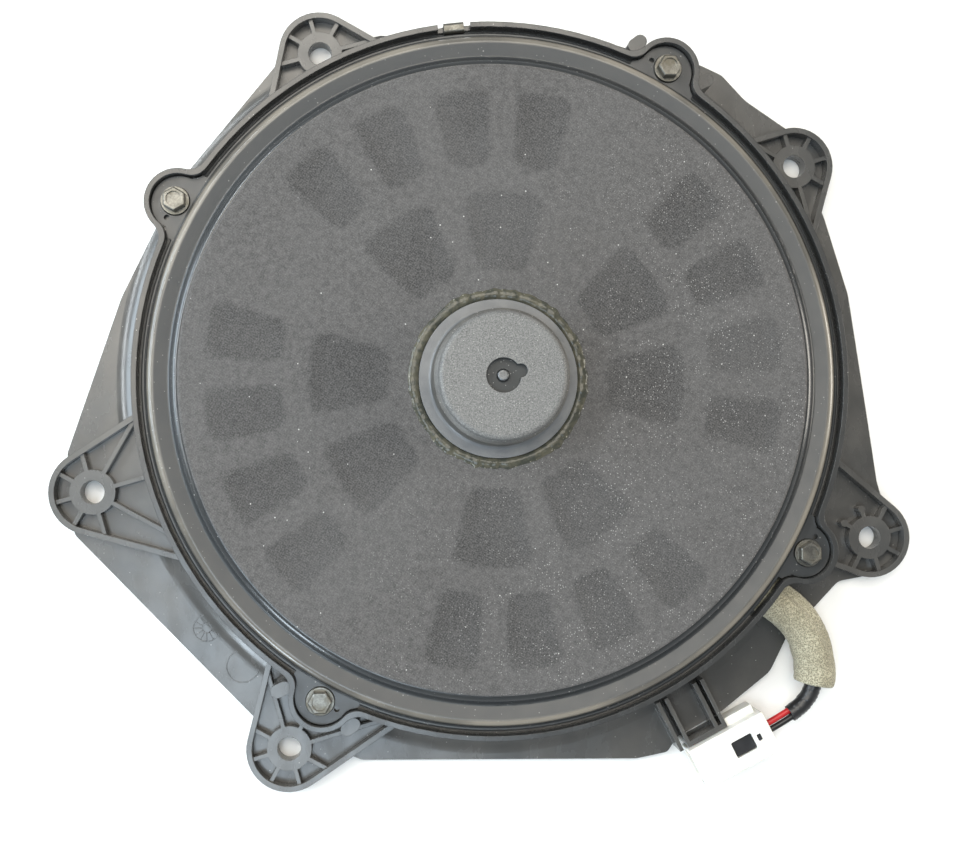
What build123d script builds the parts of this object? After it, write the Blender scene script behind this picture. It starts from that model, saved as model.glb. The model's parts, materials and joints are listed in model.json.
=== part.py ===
from build123d import *
from math import cos, hypot, radians, sin, tan
import os

# A ten-inch shallow woofer for a car body, with its motor upwards and its cone downwards,
# screwed into a moulded bracket. Millimetres, +Z along the driver's axis towards the motor.
# The origin is on that axis, in the plane that the bracket is mounted against.

# ---- Bracket ----
PLATE_T = 3.0               # floor of the bracket
PLATE_CHAMFER = 0.4         # broken lower edge of the floor
OPENING_R = 128.5           # opening that the cone works through
CHANNEL_INNER_R = 131.0     # hollow underside of the nest
CHANNEL_OUTER_R = 139.0
GASKET_R = 139.5            # recess for the sealing foam in the mounting face
CHANNEL_RIBS = 24
CHANNEL_RIB_W = 1.6
CHANNEL_RIB_L = 12.0
PILOT_R, PILOT_DEPTH = 2.2, 14.0
PILOT_BOSS_R = 6.5
SEAT_Z = 22.0               # ledge that the driver sits on
SEAT_T = 2.0
LIP_TOP_Z = 28.5            # raised lip round the driver
LIP_INNER_R = 139.5
LIP_T = 2.0
LUG_R = 11.0                # nest round each driver screw
LUG_CIRCLE_R = 141.5
LUG_BLEND_R = 7.0
COVE_W = 11.5               # concave sweep from the floor up to the lip
COVE_TOP_Z = 13.0
COVE_BEND = (0.3, 0.32)     # middle of the sweep, as shares of its width and height
LIP_NOTCH_AZ = 97.0         # notch in the lip for the spring clip
LIP_NOTCH_W, LIP_NOTCH_DEPTH = 13.0, 4.5
CLIP_L, CLIP_T = 8.0, 0.7   # spring clip that straddles the lip in the notch
CLIP_HALF_W, CLIP_RISE, CLIP_BEND = 1.7, 2.2, 0.9
CLIP_LEG_IN, CLIP_LEG_OUT = 1.3, 3.5
SNAP_L, SNAP_W = 8.3, 5.4   # detent posts beside two of the lugs
SNAP_TOP_Z = 22.5
SNAP_CIRCLE_R = 147.8
SNAP_STEP_AZ = 6.0
SNAP_SKEW_AZ = 30.0
LEAD_WINDOW_W = 21.5        # window under the rim that the lead comes out of

# ---- Ears ----
EAR_WALL_Z = 9.0
EAR_WALL_T = 2.2
EAR_RIB_Z = 7.6
EAR_RIB_W = 1.7
EAR_RIBS = 8
EAR_RIB_PHASE = 16.0
POCKET_Z = 2.5              # floor between the ribs
EAR_BOSS_R = 9.0
EAR_HOLE_R = 4.7
FLANK_R = 1.6               # rounded end of an ear's flank wall
RIGHT_EAR = 2               # two of its ribs stop short of the nest, and one is missing
STUB_RIBS, MISSING_RIB = (2, 3), 4
STUB_L, STUB_END_R = 12.3, 1.5

# Ear: hole centre, outer radius, and where its two flank walls meet the nest
EARS = [
    ((-70.5, 133.5), 16.5, (-90.0, 112.0), (-46.0, 137.0)),
    ((126.5, 91.0), 16.0, (107.0, 100.0), (134.0, 64.0)),
    ((158.0, -64.0), 16.5, (141.5, -31.0), (139.0, -73.0)),
    ((-82.0, -147.5), 17.0, (-89.0, -111.0), (-41.0, -138.5)),
    ((-160.0, -44.5), 17.0, (-142.0, -14.0), (-126.0, -70.0)),
]

# Outline of the floor, clockwise from the first ear, each corner with its radius
OUTLINE = [
    ((-46.0, 143.0), 3.0), ((-21.0, 142.0), 8.0), ((18.0, 144.5), 8.0), ((35.0, 146.5), 6.0),
    ((58.0, 140.0), 5.0), ((88.0, 134.0), 8.0), ((97.0, 130.0), 6.0), ((107.0, 119.5), 20.0),
    ((126.0, 107.0), 5.0), ((141.0, 70.0), 18.0), ((151.0, 38.0), 20.0), ((159.0, -14.0), 20.0),
    ((163.0, -41.0), 14.0), ((170.0, -64.0), 5.0), ((160.0, -80.0), 5.0), ((146.0, -82.5), 6.0),
    ((123.5, -106.0), 4.0), ((116.5, -120.0), 10.0), ((96.0, -136.0), 2.0), ((77.0, -146.5), 1.0),
    ((73.0, -152.5), 3.0), ((60.0, -155.0), 8.0), ((-53.0, -153.5), 6.0), ((-96.0, -136.0), 4.0),
    ((-168.0, -61.5), 5.0), ((-171.0, -29.0), 5.0), ((-150.0, 34.0), 20.0), ((-128.0, 80.0), 14.0),
    ((-86.0, 133.0), 5.0),
]

# ---- Connector tray and connector ----
CONN_AZ = 27.2              # direction of the connector's long side
CONN_CENTRE = (98.0, -149.5)
CONN_L, CONN_W, CONN_H = 34.0, 17.5, 13.0
CONN_Z = 3.5                # underside of the connector
CONN_WALL = 1.5
CONN_WIRE_Z = 6.5           # middle of the wires and contacts above the connector's underside
WINDOW_U, WINDOW_L, WINDOW_W = 4.2, 9.4, 7.0    # latch window in the connector's top
SLOT_U, SLOT_L, SLOT_W = 11.4, 1.9, 3.0         # small slot behind it
SLOT_DEPTH = 4.6
CONN_CORNER_R, SLOT_CORNER_R = 0.8, 0.4
CONN_FRONT = 6.0            # thickness of its closed end, where the wires go in
WIRE_BORE = 9.0
LOCK_GAP = 0.2
LOCK_WALL, LOCK_FOOT, LOCK_FREE = 1.1, 2.4, 4.8
CONTACT_AT, CONTACT_L, CONTACT_W, CONTACT_H = 7.2, 18.0, 1.4, 1.6
TRAY_WALL_T, TRAY_RIB_T = 2.0, 1.6
TRAY_TOP_Z = 13.0
TRAY_WALL_U = (-16.0, 0.5)  # the tray's outer wall, along the connector from its middle
TRAY_RIB_U = (-19.0, -15.2, -2.0, 1.3)
TRAY_RIB_V = 22.0           # how far the tray's ribs run towards the nest
TRAY_GAP = 0.4
TONGUE_L, TONGUE_W, TONGUE_T = 10.0, 1.6, 2.4   # tongue that the connector slides on
TONGUE_Z = 6.5
TONGUE_AT, TONGUE_GAP = 0.6, 0.3
GUIDE_L, GUIDE_W, GUIDE_H = 12.5, 3.4, 7.5      # connector's guide over the tongue

# ---- Driver basket ----
SCREW_CIRCLE_R = 143.2
SCREW_AZ = 61.2
SCREW_COUNT = 4
STEEL_T = 1.2
FACE_Z = 31.0               # top of the flat face
CLOTH_R, CLOTH_T = 123.4, 0.5
CLOTH_HUB_R = 31.6          # edge of the cloth at the cup
SHOULDER_R = 124.7          # corner between the face and the rim's valley
HUB_R = 27.0                # hole for the pot
VALLEY_R, VALLEY_Z = 127.0, 27.2
BEAD_R, BEAD_Z = 134.6, 29.6
FLANGE_Z = 23.5             # underside of the rim
RIM_FOOT_R = 136.0          # foot of the bead's outer side
RIM_R = 138.3               # edge of the flange outside it
RIM_GASKET_R = 133.4        # inner edge of the gasket under it
RIM_BENDS = (2.6, 1.8, 1.9, 0.9)
LUG_GAP = 0.4
LUG_FLAP = (14.0, 28.0)
LUG_HOLE_R = 2.8
LUG_PIN_R, LUG_PIN_AT = 1.1, (1.5, 7.2)
SKIRT_R = 123.0
SKIRT_FLANGE_R = 127.0
SKIRT_Z = 14.0
WINDOW_GROUPS = 4
WINDOW_AZ = 16.2            # middle of the first group
OUTER_WINDOW = (83.5, 114.0, 11.6, (-25.8, -8.6, 8.6, 25.8))
INNER_WINDOW = (42.5, 74.0, 26.5, (-18.0, 18.0))
WINDOW_CORNER_R = 4.0

SCREW_R, SCREW_TIP_Z = 2.2, 9.0
SCREW_HEAD_W, SCREW_HEAD_H = 8.1, 5.2
SCREW_WASHER_R, SCREW_WASHER_T = 5.8, 1.3
SCREW_DISH_R, SCREW_DISH_DEPTH = 2.9, 0.8
SCREW_BREAK, SCREW_TAPER = 0.8, 14.0

# ---- Motor ----
POT_TOP_Z = 54.0
POT_TOP_R = 24.3
POT_R = 26.2
POT_FLANGE_R = 31.0
POT_FLANGE_T = 1.8
POT_BORE_R = 22.6
POT_FLOOR_Z = 48.5
POT_MOUTH_Z = 29.5
MAGNET_R, MAGNET_Z = 18.5, 38.0
PLATE_R, PLATE_Z = 19.6, 32.0
RIVET_R = 2.4
RECESS_R, RECESS_DEPTH = 6.6, 3.0
RECESS_NOTCH_R, RECESS_NOTCH_AZ = 2.6, 15.0
CUP_EDGE_R = 1.8
CUP_STEP_Z = 47.0           # the cup's side narrows from here up
CUP_ROOT, CUP_ROOT_SAG = 1.4, 0.4               # hollow between the cup's side and its flange
CUP_TAPER = 0.3
RIVET_HEAD_R, RIVET_HEAD_T = 4.8, 1.6
RIVET_SUNK = 1.2
RIVET_CROWN, RIVET_BREAK = 0.9, 0.8             # rounding of its upper end, chamfer of its head
GLUE_OUT, GLUE_UP = 2.0, 0.5                    # middle of the adhesive bead's section
GLUE_W, GLUE_H = 1.9, 1.7

# ---- Moving parts and suspension ----
FORMER_R, FORMER_T = 20.6, 0.4
FORMER_Z = (18.9, 41.0)
WINDING_T = 1.2
WINDING_Z = (30.5, 39.5)
CONE_NECK_Z, CONE_EDGE_Z = 19.6, 14.8
CONE_T = 0.8
CONE_COLLAR_R, CONE_COLLAR_H = (21.6, 22.8), 1.6
CONE_EDGE_R = (97.5, 104.0)
CAP_R = 33.0
CAP_DEPTH, CAP_SHOULDER = 5.2, 3.6              # dome of the dust cap below its edge
CAP_SHOULDER_R, CAP_EDGE_R, CAP_FLANGE_R = 17.16, 30.5, 34.5
CAP_GAP = 0.2
SURROUND_T = 0.8
SURROUND_Z = 14.0           # top of the surround's two flanges
SURROUND_ROLL = (104.5, 121.5)
SURROUND_DEPTH = 6.5
SURROUND_RING_R, SURROUND_RING_T = 122.1, 1.4   # gasket under the surround's outer flange
SPIDER_T = 0.5
SPIDER_Z = 22.5
SPIDER_R = (24.0, 75.0, 81.5)
SPIDER_RING_R = (76.0, 78.8, 80.2)              # foot, and the two sides of its upright wall
SPIDER_RING_T = 1.2
SPIDER_WAVES = 6
SPIDER_WAVE_H = 0.8

# ---- Lead ----
WIRE_R = 1.3
WIRE_GAP = 0.3
TERMINAL_AZ = -38.0
TERMINAL_Z = 17.5
TAB_U, TAB_W, TAB_T = 3.0, 4.2, 1.2             # the two tabs, either side of the board's middle
BOARD_RISE = 2.8            # middle of the board above its tabs
BOARD_L, BOARD_W, BOARD_T = 28.0, 8.4, 1.6
BOARD_RIVET_U = 11.0
BOARD_RIVET_R, BOARD_RIVET_HEAD_R = 1.3, 2.2
BOARD_RIVET_IN, BOARD_RIVET_HEAD_T = 2.4, 0.9
BOARD_GAP, BOARD_CORNER_R = 0.2, 1.5
TAB_IN = 5.0                # how far the tabs reach in through the skirt
TINSEL_START_R, TINSEL_Z, TINSEL_R = 52.0, 18.5, 0.6
TINSEL_STEP_AZ = 8.0
TINSEL_CROWN, TINSEL_SAG_Z = 2.2, 17.6
TINSEL_KNOTS = (10.0, 26.0, 46.0)               # corners of a lead, from its start
TINSEL_GAP = 0.3            # between a lead's end and its tab
TINSEL_BEND_R = 60.0
TAB_REACH_R = 130.4
FOAM_R, FOAM_CORE_R = 8.7, 4.6
FOAM_FROM, FOAM_TO = 7.0, 1.5                   # its ends, from the route's first and fifth points
TAPE_R, TAPE_CORE_R = 3.6, 3.05
TAPE_FROM, TAPE_TO = 5.0, 2.5                   # its ends, from the fifth and seventh points
# Middle of the lead, from the terminals under the rim to the back of the connector
LEAD_ROUTE = [
    (103.2, -80.7, 17.5), (115.5, -88.5, 12.8), (127.0, -98.0, 12.0), (132.5, -110.5, 11.0),
    (133.5, -122.5, 10.0), (130.0, -131.0, 9.7), (121.1, -137.6, 9.9), (108.7, -144.0, 10.0),
]

CLEAR = 60.0                # longer than any cut needs
EDGE_BREAK = 0.4            # small chamfers and roundings

os.makedirs("parts", exist_ok=True)


def around(radius, azimuth):
    """A point on a circle round the driver's axis."""
    return (radius * cos(radians(azimuth)), radius * sin(radians(azimuth)))


def save(piece, name):
    """Label a finished piece and write it."""
    piece.part.label = name
    export_step(piece.part, f"parts/{name}.step")


def sheet_section(points, thickness):
    """Closed section of a thin sheet, from a polyline along its upper side."""
    lowered = [(x, y - thickness) for x, y in points]
    with BuildLine() as outline:
        Polyline(*points)
        Polyline(*lowered)
        Line(points[0], lowered[0])
        Line(points[-1], lowered[-1])
    make_face(outline.edges())


def arc_section(arcs, start, end, thickness):
    """Closed section of a thin sheet of arcs, with a straight flange before and after them."""
    with BuildLine() as outline:
        for drop in (0, thickness):
            for arc in arcs:
                ThreePointArc(*[(x, y - drop) for x, y in arc])
            if start != arcs[0][0]:
                Line((start[0], start[1] - drop), (arcs[0][0][0], arcs[0][0][1] - drop))
            Line((arcs[-1][2][0], arcs[-1][2][1] - drop), (end[0], end[1] - drop))
        Line(start, (start[0], start[1] - thickness))
        Line(end, (end[0], end[1] - thickness))
    make_face(outline.edges())


def nest_outline(radius, lug_radius):
    """Round nest with a lug at each driver screw and blended corners between them."""
    with BuildSketch(mode=Mode.PRIVATE) as nest:
        Circle(radius)
        with PolarLocations(LUG_CIRCLE_R, SCREW_COUNT, start_angle=SCREW_AZ):
            Circle(lug_radius)
        fillet(nest.vertices(), LUG_BLEND_R)
    return nest.sketch


def ear_outline(ear, inset=0.0):
    """Teardrop round an ear's hole, running back to the nest."""
    centre, radius, flank_a, flank_b = ear
    with BuildSketch(mode=Mode.PRIVATE) as drop:
        with Locations(centre):
            Circle(radius)
        with Locations(flank_a, flank_b, (centre[0] * 0.8, centre[1] * 0.8)):
            Circle(FLANK_R)
        make_hull()
        if inset:
            offset(amount=-inset, mode=Mode.REPLACE)
    return drop.sketch


def window_outline(inner_r, outer_r, width_az):
    """Rounded sector window about the +X direction."""
    half = radians(width_az / 2)
    with BuildSketch(mode=Mode.PRIVATE) as window:
        with BuildLine():
            near = [(inner_r * cos(a), inner_r * sin(a)) for a in (-half, 0, half)]
            far = [(outer_r * cos(a), outer_r * sin(a)) for a in (-half, 0, half)]
            ThreePointArc(*near)
            ThreePointArc(*far)
            Line(near[0], far[0])
            Line(near[2], far[2])
        make_face()
        fillet(window.vertices(), WINDOW_CORNER_R)
    return window.sketch


def unit(start, end):
    """Unit vector in the ground plane."""
    dx, dy = end[0] - start[0], end[1] - start[1]
    return dx / hypot(dx, dy), dy / hypot(dx, dy)


def beside(route, shift):
    """The route moved sideways in the ground plane by a fixed distance."""
    moved = []
    for i, (x, y, z) in enumerate(route):
        before = unit(route[max(i - 1, 0)], route[max(i, 1)])
        after = unit(route[min(i, len(route) - 2)], route[min(i + 1, len(route) - 1)])
        normal = (-(before[1] + after[1]) / 2, (before[0] + after[0]) / 2)
        scale = shift / (normal[0] ** 2 + normal[1] ** 2)
        moved.append((x + normal[0] * scale, y + normal[1] * scale, z))
    return moved


def bend_radii(route):
    """Largest arcs that the runs on either side of each corner leave room for."""
    radii = []
    for a, b, c in zip(route, route[1:], route[2:]):
        run_in, run_out = Vector(*b) - Vector(*a), Vector(*c) - Vector(*b)
        half_turn = radians(run_in.get_angle(run_out) / 2)
        radii.append(0.45 * min(run_in.length, run_out.length) / tan(half_turn))
    return radii


def along(start, end, distance):
    """The point at a distance from start towards end."""
    step = Vector(*end) - Vector(*start)
    point = Vector(*start) + step * (distance / step.length)
    return (point.X, point.Y, point.Z)


nest_outer = nest_outline(LIP_INNER_R + LIP_T, LUG_R + LIP_T)
nest_inner = nest_outline(LIP_INNER_R, LUG_R)
ear_shapes = [ear_outline(ear) for ear in EARS]
ear_pockets = [ear_outline(ear, EAR_WALL_T) for ear in EARS]
conn_dir = (cos(radians(CONN_AZ)), sin(radians(CONN_AZ)), 0)
conn_plane = Plane(origin=(*CONN_CENTRE, CONN_Z), x_dir=conn_dir, z_dir=(0, 0, 1))
# The tray stands inboard of the connector: x along the connector, y towards the nest
tray_middle = conn_plane.from_local_coords((0, CONN_W / 2 + TRAY_GAP, 0))
tray_plane = Plane(origin=(tray_middle.X, tray_middle.Y, 0), x_dir=conn_dir, z_dir=(0, 0, 1))
lead_window = Plane(
    origin=(0, 0, PLATE_T), x_dir=(*around(1, TERMINAL_AZ), 0), z_dir=(0, 0, 1)
)
terminal_plane = Plane(
    origin=(*around(SKIRT_R, TERMINAL_AZ), TERMINAL_Z),
    x_dir=(*around(1, TERMINAL_AZ + 90), 0), z_dir=(*around(1, TERMINAL_AZ), 0),
)
board_rivet_points = [(-BOARD_RIVET_U, BOARD_RISE), (BOARD_RIVET_U, BOARD_RISE)]

# Mounting bracket: floor, ribbed ears, nest for the driver and tray for the connector
with BuildPart() as bracket:
    with BuildSketch(Plane.XZ):
        with BuildLine():
            wall_r = LIP_INNER_R + LIP_T / 2
            Polyline(
                (wall_r + COVE_W, PLATE_T - 1), (wall_r, PLATE_T - 1), (wall_r, COVE_TOP_Z)
            )
            ThreePointArc(
                (wall_r, COVE_TOP_Z),
                (
                    wall_r + COVE_BEND[0] * COVE_W,
                    PLATE_T + COVE_BEND[1] * (COVE_TOP_Z - PLATE_T),
                ),
                (wall_r + COVE_W, PLATE_T),
            )
            Line((wall_r + COVE_W, PLATE_T), (wall_r + COVE_W, PLATE_T - 1))
        make_face()
    revolve(axis=Axis.Z)
    with BuildSketch() as floor:
        with BuildLine():
            FilletPolyline(*[p for p, r in OUTLINE], radius=[r for p, r in OUTLINE], close=True)
        make_face()
    extrude(amount=COVE_TOP_Z, mode=Mode.INTERSECT)
    extrude(floor.sketch, amount=PLATE_T)
    chamfer(bracket.faces().sort_by(Axis.Z)[0].outer_wire().edges(), length=PLATE_CHAMFER)
    with BuildSketch():
        for shape in ear_shapes:
            add(shape)
    extrude(amount=EAR_WALL_Z)
    # the tray's three walls and its ribs
    with BuildSketch(tray_plane):
        with Locations((TRAY_WALL_U[0], 0)):
            Rectangle(TRAY_WALL_U[1] - TRAY_WALL_U[0], TRAY_WALL_T, align=Align.MIN)
        with Locations(*[(u, 0) for u in TRAY_RIB_U]):
            Rectangle(TRAY_RIB_T, TRAY_RIB_V, align=(Align.CENTER, Align.MIN))
    extrude(amount=TRAY_TOP_Z)
    with BuildSketch(tray_plane.offset(TONGUE_Z)):
        with Locations((TRAY_RIB_U[-1], TONGUE_AT)):
            Rectangle(TONGUE_L, TONGUE_W, align=Align.MIN)
    extrude(amount=TONGUE_T)
    # lip and seat
    with BuildSketch():
        add(nest_outer)
    extrude(amount=LIP_TOP_Z)
    with BuildSketch(Plane.XY.offset(SEAT_Z)):
        add(nest_inner)
    extrude(amount=CLEAR, mode=Mode.SUBTRACT)
    with BuildSketch(Plane.XY.offset(-1)):
        Circle(OPENING_R)
    extrude(amount=CLEAR, mode=Mode.SUBTRACT)
    # ear pockets, then their bosses and ribs
    with BuildSketch(Plane.XY.offset(POCKET_Z)):
        for shape in ear_pockets:
            add(shape)
        add(nest_outer, mode=Mode.SUBTRACT)
    extrude(amount=CLEAR, mode=Mode.SUBTRACT)
    for number, (ear, shape) in enumerate(zip(EARS, ear_shapes)):
        with BuildSketch(Plane.XY.offset(PLATE_T - 1)):
            with Locations(ear[0]):
                Circle(EAR_BOSS_R)
            for rib in range(EAR_RIBS):
                stub = number == RIGHT_EAR and rib in STUB_RIBS
                if number == RIGHT_EAR and rib == MISSING_RIB:
                    continue
                with Locations(Location((*ear[0], 0), (0, 0, EAR_RIB_PHASE + 360 / EAR_RIBS * rib))):
                    Rectangle(STUB_L if stub else CLEAR, EAR_RIB_W, align=(Align.MIN, Align.CENTER))
                    if stub:
                        with Locations((STUB_L, 0)):
                            Circle(STUB_END_R)
            add(shape, mode=Mode.INTERSECT)
            add(nest_inner, mode=Mode.SUBTRACT)
        extrude(amount=EAR_RIB_Z - PLATE_T + 1)
    with Locations(*[(*ear[0], EAR_WALL_Z) for ear in EARS]):
        Hole(EAR_HOLE_R)
    # hollow underside of the nest, with its ribs, open towards the mounting face
    with BuildSketch(Plane.XY.offset(-1)):
        Circle(CHANNEL_OUTER_R)
        Circle(CHANNEL_INNER_R, mode=Mode.SUBTRACT)
        with PolarLocations(SCREW_CIRCLE_R, SCREW_COUNT, start_angle=SCREW_AZ):
            Circle(PILOT_BOSS_R, mode=Mode.SUBTRACT)
        with PolarLocations((CHANNEL_INNER_R + CHANNEL_OUTER_R) / 2, CHANNEL_RIBS):
            Rectangle(CHANNEL_RIB_L, CHANNEL_RIB_W, mode=Mode.SUBTRACT)
    extrude(amount=SEAT_Z - SEAT_T + 1, mode=Mode.SUBTRACT)
    with BuildSketch(Plane.XY.offset(-1)):
        Circle(GASKET_R)
    extrude(amount=PLATE_T + 1, mode=Mode.SUBTRACT)
    # pilot holes for the driver's screws
    with Locations((0, 0, SEAT_Z)):
        with PolarLocations(SCREW_CIRCLE_R, SCREW_COUNT, start_angle=SCREW_AZ):
            Hole(PILOT_R, depth=PILOT_DEPTH)
    # window for the lead, and the notch for the clip
    with BuildSketch(lead_window):
        with Locations((OPENING_R - 2, 0)):
            Rectangle(CLEAR / 2, LEAD_WINDOW_W, align=(Align.MIN, Align.CENTER))
    extrude(amount=SEAT_Z - PLATE_T, mode=Mode.SUBTRACT)
    with BuildSketch(Plane.XY.offset(LIP_TOP_Z - LIP_NOTCH_DEPTH)):
        with Locations(around(LIP_INNER_R + LIP_T / 2, LIP_NOTCH_AZ)):
            Rectangle(LIP_NOTCH_W, 4 * LIP_T, rotation=LIP_NOTCH_AZ - 90)
    extrude(amount=CLEAR, mode=Mode.SUBTRACT)
    # detent posts beside two lugs
    with BuildSketch(Plane.XY.offset(PLATE_T)):
        for lug_az in (SCREW_AZ, SCREW_AZ + 180):
            for step in (-SNAP_STEP_AZ, SNAP_STEP_AZ):
                with Locations(around(SNAP_CIRCLE_R, lug_az + step)):
                    SlotOverall(SNAP_L, SNAP_W, rotation=lug_az + step - SNAP_SKEW_AZ)
    extrude(amount=SNAP_TOP_Z - PLATE_T)
save(bracket, "mounting_bracket")

with BuildPart() as bracket_gasket:
    with BuildSketch():
        Circle(GASKET_R)
        Circle(OPENING_R, mode=Mode.SUBTRACT)
    extrude(amount=PLATE_T)
save(bracket_gasket, "bracket_gasket")

# Basket: pressed steel pan with a rolled rim, a skirt for the surround and four lugs
with BuildPart() as basket:
    with BuildSketch(Plane.XZ):
        with BuildLine():
            FilletPolyline(
                (HUB_R, FACE_Z - STEEL_T / 2), (SHOULDER_R, FACE_Z - STEEL_T / 2),
                (VALLEY_R, VALLEY_Z), (BEAD_R, BEAD_Z - STEEL_T / 2),
                (RIM_FOOT_R, FLANGE_Z + STEEL_T / 2),
                (RIM_R - STEEL_T / 2, FLANGE_Z + STEEL_T / 2),
                radius=RIM_BENDS,
            )
            offset(amount=STEEL_T / 2, side=Side.BOTH)
        make_face()
    revolve(axis=Axis.Z)
    with BuildSketch(Plane.XZ):
        with BuildLine():
            FilletPolyline(
                (SKIRT_R - STEEL_T / 2, FACE_Z - STEEL_T / 2),
                (SKIRT_R - STEEL_T / 2, SKIRT_Z + STEEL_T / 2),
                (SKIRT_FLANGE_R, SKIRT_Z + STEEL_T / 2),
                radius=[1.0],
            )
            offset(amount=STEEL_T / 2, side=Side.BOTH)
        make_face()
    revolve(axis=Axis.Z)
    with BuildSketch(Plane.XY.offset(FLANGE_Z)):
        with PolarLocations(LUG_CIRCLE_R, SCREW_COUNT, start_angle=SCREW_AZ):
            Circle(LUG_R - LUG_GAP)
            with Locations((-LUG_FLAP[0] / 2, 0)):
                Rectangle(*LUG_FLAP)
        Circle(RIM_FOOT_R, mode=Mode.SUBTRACT)
        add(nest_outline(LIP_INNER_R - LUG_GAP, LUG_R - LUG_GAP), mode=Mode.INTERSECT)
    extrude(amount=STEEL_T)
    with BuildSketch(Plane.XY.offset(FACE_Z - 3)):
        for inner_r, outer_r, width_az, steps in (OUTER_WINDOW, INNER_WINDOW):
            for group in range(WINDOW_GROUPS):
                for step in steps:
                    turn = Rotation(0, 0, WINDOW_AZ + 90 * group + step)
                    add(turn * window_outline(inner_r, outer_r, width_az))
    extrude(amount=CLEAR, mode=Mode.SUBTRACT)
    with BuildSketch(Plane.XY.offset(FLANGE_Z - 1)):
        with PolarLocations(SCREW_CIRCLE_R, SCREW_COUNT, start_angle=SCREW_AZ):
            Circle(LUG_HOLE_R)
        with PolarLocations(LUG_CIRCLE_R, SCREW_COUNT, start_angle=SCREW_AZ):
            with Locations(LUG_PIN_AT):
                Circle(LUG_PIN_R)
    extrude(amount=2 * STEEL_T + 1, mode=Mode.SUBTRACT)
    # slot and rivet holes in the skirt for the terminals
    with BuildSketch(terminal_plane.offset(-3)):
        Rectangle(2 * TAB_U + TAB_W + 3, TAB_T + 2)
        with Locations(*board_rivet_points):
            Circle(BOARD_RIVET_R)
    extrude(amount=4, mode=Mode.SUBTRACT)
save(basket, "basket")

with BuildPart() as basket_gasket:
    with BuildSketch(Plane.XY.offset(SEAT_Z)):
        Circle(RIM_R)
        Circle(RIM_GASKET_R, mode=Mode.SUBTRACT)
    extrude(amount=FLANGE_Z - SEAT_Z)
save(basket_gasket, "basket_gasket")

with BuildPart() as cloth:
    with BuildSketch(Plane.XY.offset(FACE_Z)):
        Circle(CLOTH_R)
        Circle(CLOTH_HUB_R, mode=Mode.SUBTRACT)
    extrude(amount=CLOTH_T)
save(cloth, "acoustic_cloth")

# Motor: cast pot, magnet and pole plate on one rivet, glued into the basket's hub
flange_top_z = FACE_Z + POT_FLANGE_T
with BuildPart() as pot:
    with BuildSketch(Plane.XZ):
        with BuildLine():
            Polyline(
                (0, POT_FLOOR_Z), (POT_BORE_R, POT_FLOOR_Z), (POT_BORE_R, POT_MOUTH_Z),
                (POT_R, POT_MOUTH_Z), (POT_R, FACE_Z), (POT_FLANGE_R, FACE_Z),
                (POT_FLANGE_R, flange_top_z), (POT_R + CUP_ROOT, flange_top_z),
            )
            ThreePointArc(
                (POT_R + CUP_ROOT, flange_top_z),
                (POT_R + CUP_ROOT_SAG, flange_top_z + CUP_ROOT_SAG),
                (POT_R, flange_top_z + CUP_ROOT),
            )
            Polyline(
                (POT_R, flange_top_z + CUP_ROOT), (POT_R - CUP_TAPER, CUP_STEP_Z),
                (POT_TOP_R, CUP_STEP_Z + CUP_ROOT), (POT_TOP_R, POT_TOP_Z),
                (0, POT_TOP_Z), (0, POT_FLOOR_Z),
            )
        make_face()
    revolve(axis=Axis.Z)
    top_edge = pot.edges().group_by(Axis.Z)[-1]
    fillet(top_edge, CUP_EDGE_R)
    with BuildSketch(Plane.XY.offset(POT_TOP_Z - RECESS_DEPTH)):
        Circle(RECESS_R)
        with Locations(around(RECESS_R, RECESS_NOTCH_AZ)):
            Circle(RECESS_NOTCH_R)
    extrude(amount=RECESS_DEPTH, mode=Mode.SUBTRACT)
    with Locations((0, 0, POT_TOP_Z)):
        Hole(RIVET_R)
save(pot, "motor_cup")

with BuildPart() as bead:
    with BuildSketch(Plane.XZ):
        with Locations((POT_FLANGE_R + GLUE_OUT, FACE_Z + GLUE_UP)):
            Ellipse(GLUE_W, GLUE_H)
        with Locations((POT_FLANGE_R, 0)):
            Rectangle(CLEAR, 2 * FACE_Z + 1, align=(Align.MIN, Align.CENTER), mode=Mode.SUBTRACT)
        with Locations((0, FACE_Z)):
            Rectangle(POT_FLANGE_R, CLEAR, align=(Align.MIN, Align.CENTER), mode=Mode.SUBTRACT)
    revolve(axis=Axis.Z)
save(bead, "adhesive_bead")

with BuildPart() as magnet:
    with BuildSketch(Plane.XY.offset(MAGNET_Z)):
        Circle(MAGNET_R)
        Circle(RIVET_R, mode=Mode.SUBTRACT)
    extrude(amount=POT_FLOOR_Z - MAGNET_Z)
    chamfer(magnet.edges().filter_by(GeomType.CIRCLE).sort_by(SortBy.RADIUS)[-2:], length=EDGE_BREAK)
save(magnet, "magnet")

with BuildPart() as pole_plate:
    with BuildSketch(Plane.XY.offset(PLATE_Z)):
        Circle(PLATE_R)
        Circle(RIVET_R, mode=Mode.SUBTRACT)
    extrude(amount=MAGNET_Z - PLATE_Z)
    chamfer(pole_plate.edges().group_by(Axis.Z)[0].sort_by(SortBy.RADIUS)[-1], length=EDGE_BREAK)
save(pole_plate, "pole_plate")

with BuildPart() as rivet:
    with BuildSketch(Plane.XY.offset(PLATE_Z)):
        Circle(RIVET_R)
    extrude(amount=POT_TOP_Z - RIVET_SUNK - PLATE_Z)
    fillet(rivet.edges().group_by(Axis.Z)[-1], RIVET_CROWN)
    with BuildSketch(Plane.XY.offset(PLATE_Z - RIVET_HEAD_T)):
        Circle(RIVET_HEAD_R)
    extrude(amount=RIVET_HEAD_T)
    chamfer(rivet.edges().group_by(Axis.Z)[0], length=RIVET_BREAK)
save(rivet, "centre_rivet")

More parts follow.
